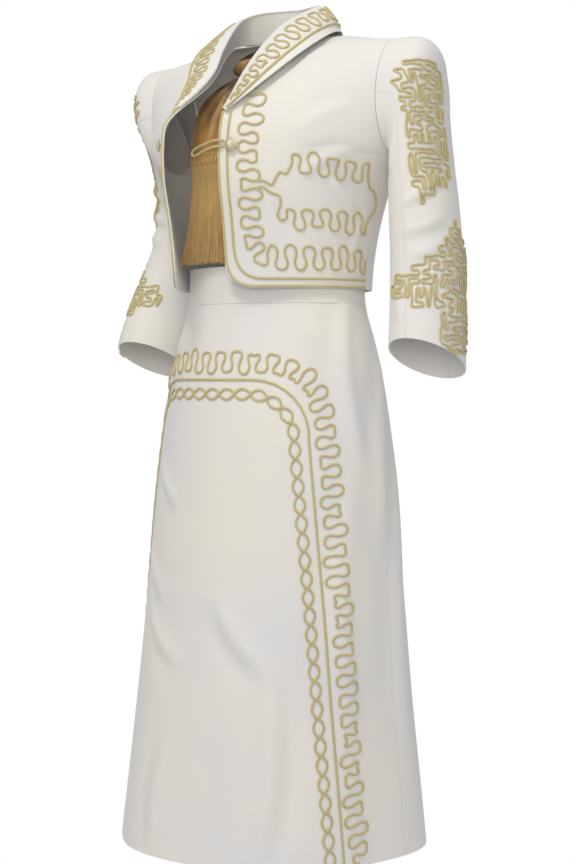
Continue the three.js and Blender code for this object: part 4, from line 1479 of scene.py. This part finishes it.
# -------------------------------------------------------------------- closure and tie
class SUIT_OT_closure(bpy.types.Operator):
    """Makes the two domed buttons and the cord loop"""

    bl_idname = "suit.closure"
    bl_label = "Buttons and Loop"

    def execute(self, context):
        for name, side in SIDES.items():
            self._button(name, side)
        self._loop()
        return {"FINISHED"}

    @staticmethod
    def _button(name, side):
        cloth = SUIT.front[side]
        level = level_at(np.array([float(BUTTON["z"])]))
        foot, normal = cloth.on(np.array([BUTTON["x"] + 0.4]), level, 0.6)
        up = normal[0]
        aside = unit(np.cross(up, [0, 0, 1.0]))
        over = np.cross(aside, up)
        turns = 40
        points = []
        for radius, height in zip(*BUTTON_PROFILE.values()):
            for k in range(turns):
                angle = 2 * math.pi * k / turns
                ripple = 1 + 0.03 * math.cos(8 * angle) * (5 < radius < 9)
                flat = aside * math.cos(angle) + over * math.sin(angle)
                points.append(foot[0] + flat * radius * ripple + up * height)
        faces = ring_faces(np.arange(len(points)).reshape(-1, turns), turned=False)
        piece = new_piece("dome_button_" + name, points, faces, "button_metal", 40)
        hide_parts("button_" + name)

    @staticmethod
    def _loop():
        cloth = SUIT.front[1]
        x, z, lift = (np.array(column, float) for column in LOOP_STOPS.values())
        level = level_at(z)
        share = x / SHARE_WIDTH
        for _ in range(8):
            share += (x - cloth.place(share, level)[:, 0]) / (1.25 * SHARE_WIDTH)
        stops = cloth.place(share, level) + cloth.normal(share, level) * lift[:, None]
        t = np.linspace(0, 1, 90)
        path = np.stack([along(stops[:, k], t) for k in range(3)], axis=-1)
        strands = Strands(8)
        normals = np.broadcast_to([0.2, -1.0, 0.1], path.shape)
        strands.add(path, normals, *LOOP_SECTION)
        piece = strands.piece("loop_braid")
        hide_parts("button_loop")


def tie_place(u, v):
    """The satin below the knot: u runs across it and v down it."""
    u, v = floats(u, v)
    row = {key: along(column, v) for key, column in TIE_ROWS.items()}
    across = 2 * u - 1
    y = row["y"] + TIE["curve"] * across * across
    for at, rise, width in zip(*TIE_FOLDS.values()):
        y = y - row["fold"] * rise * np.exp(-(((u - at) / width) ** 2))
    return stack(row["half"] * across, y, row["z"] + 5 * across * across * (1 - v))


TIE_CREASES = creases(
    (-12, -4, -36, 98, 4.4, 5),
    (-2, -4, -6, 84, 5.4, 4.5),
    (10, -4, 20, 96, 4.6, 4.5),
    (20, -4, 50, 104, 3.6, 5.5),
    (-24, 4, -62, 108, 3.6, 5.5),
    (-44, 36, 26, 58, 2.6, 6),
    (-20, 96, 48, 78, 2.0, 6),
)


def band_place(turns, v):
    """The tie's neckband, lower in front."""
    turn = 2 * np.pi * np.asarray(turns, float)
    slope = lerp(TIE["band_back_z"], TIE["band_front_z"], (1 + np.cos(turn)) / 2)
    z = slope - TIE["band_height"] * v
    return stack(TIE["band_x"] * np.sin(turn), -TIE["band_y"] * np.cos(turn), z)


class SUIT_OT_tie(bpy.types.Operator):
    """Makes the satin neckband, knot and spread of the tie"""

    bl_idname = "suit.tie"
    bl_label = "Tie"

    def execute(self, context):
        turns = np.linspace(0, 1, 121)[None, :-1]
        v = np.linspace(0, 1, 8)[:, None]
        outer = band_place(*np.broadcast_arrays(turns, v))
        ripple = 0.35 * np.sin(2 * np.pi * (3 * v + 5 * turns))
        away = unit(outer * [1, 1, 0])
        outer = outer + away * ripple[..., None]
        inner = outer - away * SATIN_WALL
        band = cloth_piece("satin_neckband", outer, inner, "bronze_satin", ring=True)
        declare(outer, "tie_neckband")
        drape = Cloth(tie_place, (0.0, 1.0), (0.0, 1.0), 0.5, (0, 0, -150), TIE_CREASES)
        u = np.linspace(0, 1, 120)[None, :]
        v = np.linspace(0, 1, 90)[:, None]
        grids = np.broadcast_arrays(u, v)
        names = ["tie_knot"], "tie_drape", "bronze_satin"
        build_cloth("satin_spread", drape, *grids, SATIN_WALL, *names)
        self._knot()
        return {"FINISHED"}

    @staticmethod
    def _knot():
        half_x, half_y, half_z = TIE["knot_half"]
        pleat = TIE["knot_pleat"]
        centre_y = -TIE["band_y"] - SEAM_GAP - half_y * (1 + pleat)
        rings, columns = 40, 72
        polar = np.linspace(0.04, math.pi - 0.04, rings)[:, None]
        turn = np.linspace(0, 2 * math.pi, columns, endpoint=False)[None, :]
        deep = 1 + (pleat * np.cos(5 * turn) + 0.05 * np.cos(13 * turn)) * np.sin(polar) ** 2
        x = half_x * np.sin(polar) * np.sin(turn) * deep
        y = centre_y + half_y * np.sin(polar) * np.cos(turn) * deep
        z = TIE["knot_z"] + half_z * np.cos(polar) + 0 * turn
        points = stack(x, y, z).reshape(-1, 3)
        grid = np.arange(rings * columns).reshape(rings, columns)
        faces = ring_faces(grid) + end_faces(grid)
        piece = new_piece("satin_knot", points, faces, "bronze_satin", 80)
        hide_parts("tie_knot")


class SUIT_OT_fringe(bpy.types.Operator):
    """Makes the knotted heading and the long fringe of the tie"""

    bl_idname = "suit.fringe"
    bl_label = "Fringe"

    def execute(self, context):
        heading_top = TIE["hem_z"] - SEAM_GAP
        heading_hem = heading_top - TIE["heading"]
        half = TIE["half_width"]

        def front_y(x):
            return TIE["front_y"] + TIE["curve"] * (np.asarray(x) / half) ** 2

        x = np.linspace(-half, half, 90)[None, :]
        z = np.linspace(heading_top, heading_hem, 6)[:, None]
        x, z = np.broadcast_arrays(x, z)
        outer = stack(x, front_y(x) + 0.6, z)
        inner = stack(x, front_y(x) + 2.0, z)
        cloth_piece("fringe_band", outer, inner, "gold_fringe")
        strands = Strands(5)
        self._heading(strands, front_y, heading_top, heading_hem, half)
        self._locks(strands, front_y, heading_hem, half, context.scene.suit_sizes.strands)
        piece = strands.piece("fringe_strands", "gold_fringe")
        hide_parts("tie_fringe")
        return {"FINISHED"}

    @staticmethod
    def _heading(strands, front_y, top, hem, half):
        """A lattice of crossed cords between two edge cords."""
        x = np.linspace(-half, half, 300)
        ahead = np.broadcast_to([0.0, -1.0, 0.0], (len(x), 3))
        for height in (top - 1.2, hem + 1.2):
            strands.add(stack(x, front_y(x) + 0.3, np.full_like(x, height)), ahead, 1.0, 0.8)
        crossings = np.pi * TIE["crossings"] * (x / half + 1) / 2
        for turn in (1, -1):
            wave = turn * np.sin(crossings)
            over = turn * np.cos(crossings)
            z = (top + hem) / 2 + wave * (top - hem - 4) / 2
            strands.add(stack(x, front_y(x) + 0.1 - 0.45 * over, z), ahead, 0.8)

    @staticmethod
    def _locks(strands, front_y, hem, half, count):
        dice = np.random.default_rng(SEEDS["fringe"])
        t = np.linspace(0, 1, 13)
        for k in range(count):
            share = (k + 0.5) / count
            x = (half - 1.0) * (2 * share - 1) + dice.uniform(-0.2, 0.2)
            layer = k % 2
            across = 2 * share - 1
            flare = TIE["flare_left"] * across
            if across < 0:
                flare = -TIE["flare_right"] * (-across) ** 1.2
            sway = flare + dice.uniform(-1.4, 1.4)
            length = TIE["fringe"] * (1 + dice.uniform(-0.03, 0.012))
            wobble = dice.uniform(0.2, 0.7) * np.sin(2 * np.pi * (t * 1.6 + dice.uniform(0, 1)))
            path_x = x + sway * t**2 + wobble * t
            back = TIE["sweep_back"] + dice.uniform(-0.5, 0.5)
            path_y = front_y(x) + 0.9 + layer * 0.9 + back * t
            path = stack(path_x, path_y, hem + 3 - length * t)
            ahead = np.broadcast_to([0.0, -1.0, 0.0], path.shape)
            strands.add(path, ahead, lerp(0.62, 0.42, t))


# ------------------------------------------------------------------------ the stage
CAMERA = {"azimuth": 35, "distance": 2400, "height": -500, "lens": 200 / 3}
VIEW_CENTRE = {"across": 12 / 864, "down": -62 / 864}
FLOOR_Z = -1560
FLOOR_RADIUS = 950
LIGHTS = rows(
    "name place size power colour",
    ("key", (0.3, -1.5, 1.6), 0.7, 23, (1.0, 0.965, 0.86)),
    ("fill", (1.35, -2.0, -0.1), 0.9, 13, (1.0, 0.965, 0.9)),
)
LIGHTS_AIM = (0, 0, -0.5)
ROOM_LIGHT = 0.53


class SUIT_OT_stage(bpy.types.Operator):
    """Makes the camera, the soft studio light and the pale floor"""

    bl_idname = "suit.stage"
    bl_label = "Stage"

    def execute(self, context):
        scene = context.scene
        scene.view_settings.view_transform = "Standard"
        self._camera(scene)
        self._floor(scene)
        self._world(scene)
        for light in zip(*LIGHTS.values()):
            self._light(scene, *light)
        return {"FINISHED"}

    @staticmethod
    def _world(scene):
        """A white room: what the camera sees of it is brighter than what it lights."""
        world = bpy.data.worlds.new("studio")
        world.use_nodes = True
        tree = world.node_tree
        room = tree.nodes["Background"]
        room.inputs["Color"].default_value = (0.96, 0.965, 1, 1)
        room.inputs["Strength"].default_value = ROOM_LIGHT
        backdrop = tree.nodes.new("ShaderNodeBackground")
        backdrop.inputs["Color"].default_value = (1, 1, 1, 1)
        rays = tree.nodes.new("ShaderNodeLightPath")
        either = tree.nodes.new("ShaderNodeMixShader")
        tree.links.new(rays.outputs["Is Camera Ray"], either.inputs["Fac"])
        tree.links.new(room.outputs["Background"], either.inputs[1])
        tree.links.new(backdrop.outputs["Background"], either.inputs[2])
        tree.links.new(either.outputs["Shader"], tree.nodes["World Output"].inputs["Surface"])
        scene.world = world

    @staticmethod
    def _camera(scene):
        data = bpy.data.cameras.new("camera")
        data.lens = CAMERA["lens"]
        data.shift_x = VIEW_CENTRE["across"]
        data.shift_y = VIEW_CENTRE["down"]
        camera = bpy.data.objects.new("camera", data)
        turn = math.radians(CAMERA["azimuth"])
        reach = CAMERA["distance"] * MM
        height = CAMERA["height"] * MM
        camera.location = (reach * math.sin(turn), -reach * math.cos(turn), height)
        camera.rotation_euler = (math.pi / 2, 0, turn)
        scene.collection.objects.link(camera)
        scene.camera = camera

    @staticmethod
    def _floor(scene):
        mesh = bpy.data.meshes.new("floor")
        turns = np.linspace(0, 2 * math.pi, 96, endpoint=False)
        rim = [(math.cos(a) * FLOOR_RADIUS, math.sin(a) * FLOOR_RADIUS, FLOOR_Z) for a in turns]
        mesh.from_pydata([tuple(np.array(p) * MM) for p in rim], [], [tuple(range(len(rim)))])
        finish = Finish("pale_floor", Roughness=0.9)
        grain = finish.noise(3, 2)
        pale = finish.blend(grain, (0.9, 0.9, 0.9, 1), (0.93, 0.93, 0.93, 1))
        mesh.materials.append(finish.feed(Base_Color=pale))
        floor = bpy.data.objects.new("floor", mesh)
        scene.collection.objects.link(floor)

    @staticmethod
    def _light(scene, name, place, size, power, colour):
        data = bpy.data.lights.new(name, "AREA")
        data.shape = "DISK"
        data.size = size
        data.energy = power
        data.color = colour
        light = bpy.data.objects.new(name, data)
        light.location = place
        aim = Vector(LIGHTS_AIM) - light.location
        light.rotation_euler = aim.to_track_quat("-Z", "Y").to_euler()
        scene.collection.objects.link(light)


# -------------------------------------------------------------------- the add-on
def length_property(name, description, default):
    return FloatProperty(
        name=name, description=description, default=default, min=0.0005, unit="LENGTH"
    )


class SuitSizes(bpy.types.PropertyGroup):
    cloth: length_property("Cloth Thickness", "Thickness of the ivory gabardine", 0.0016)
    cord: length_property("Cord Width", "Width of the gold soutache cord", 0.0037)
    strands: IntProperty(
        name="Fringe Strands",
        description="How many strands hang from the tie",
        default=360,
        min=20,
    )


def colour_property(name, description, default):
    return FloatVectorProperty(
        name=name, description=description, subtype="COLOR", default=default
    )


class SuitColours(bpy.types.PropertyGroup):
    ivory: colour_property("Ivory Cloth", "Colour of the gabardine", (0.82, 0.79, 0.72))
    # Painted shade: the cooler, greyer copy of the ivory that the cloth is blended towards in broad
    # patches.
    shaded: colour_property(
        "Ivory Cloth, Painted Shade",
        "Colour that the gabardine drifts towards in broad soft patches",
        (0.75, 0.745, 0.77),
    )
    gold: colour_property("Gold Cord", "Colour of the soutache cord", (0.68, 0.585, 0.29))
    satin: colour_property("Bronze Satin", "Colour of the tie's satin", (0.37, 0.205, 0.06))
    fringe: colour_property("Gold Fringe", "Colour of the tie's fringe", (0.61, 0.39, 0.135))
    button: colour_property("Button", "Colour of the domed buttons", (0.84, 0.78, 0.56))


PIECES = (
    SUIT_OT_stage,
    SUIT_OT_jacket_body,
    SUIT_OT_sleeves,
    SUIT_OT_collar,
    SUIT_OT_skirt,
    SUIT_OT_front_soutache,
    SUIT_OT_collar_soutache,
    SUIT_OT_skirt_soutache,
    SUIT_OT_sleeve_soutache,
    SUIT_OT_closure,
    SUIT_OT_tie,
    SUIT_OT_fringe,
)


class SUIT_PT_panel(bpy.types.Panel):
    """Lists the suit's sizes, colours and pieces"""

    bl_idname = "SUIT_PT_panel"
    bl_label = "Mariachi Suit"
    bl_space_type = "VIEW_3D"
    bl_region_type = "UI"
    bl_category = "Suit"

    def draw(self, context):
        for group in (context.scene.suit_sizes, context.scene.suit_colours):
            for name in group.__annotations__:
                self.layout.prop(group, name)
        for operator in PIECES:
            self.layout.operator(operator.bl_idname)


CLASSES = (SuitSizes, SuitColours, *PIECES, SUIT_PT_panel)


def register():
    for cls in CLASSES:
        bpy.utils.register_class(cls)
    bpy.types.Scene.suit_sizes = PointerProperty(type=SuitSizes)
    bpy.types.Scene.suit_colours = PointerProperty(type=SuitColours)


def unregister():
    del bpy.types.Scene.suit_colours
    del bpy.types.Scene.suit_sizes
    for cls in reversed(CLASSES):
        bpy.utils.unregister_class(cls)


def main():
    register()
    for operator in PIECES:
        group, name = operator.bl_idname.split(".")
        getattr(getattr(bpy.ops, group), name)()


if __name__ == "__main__":
    main()
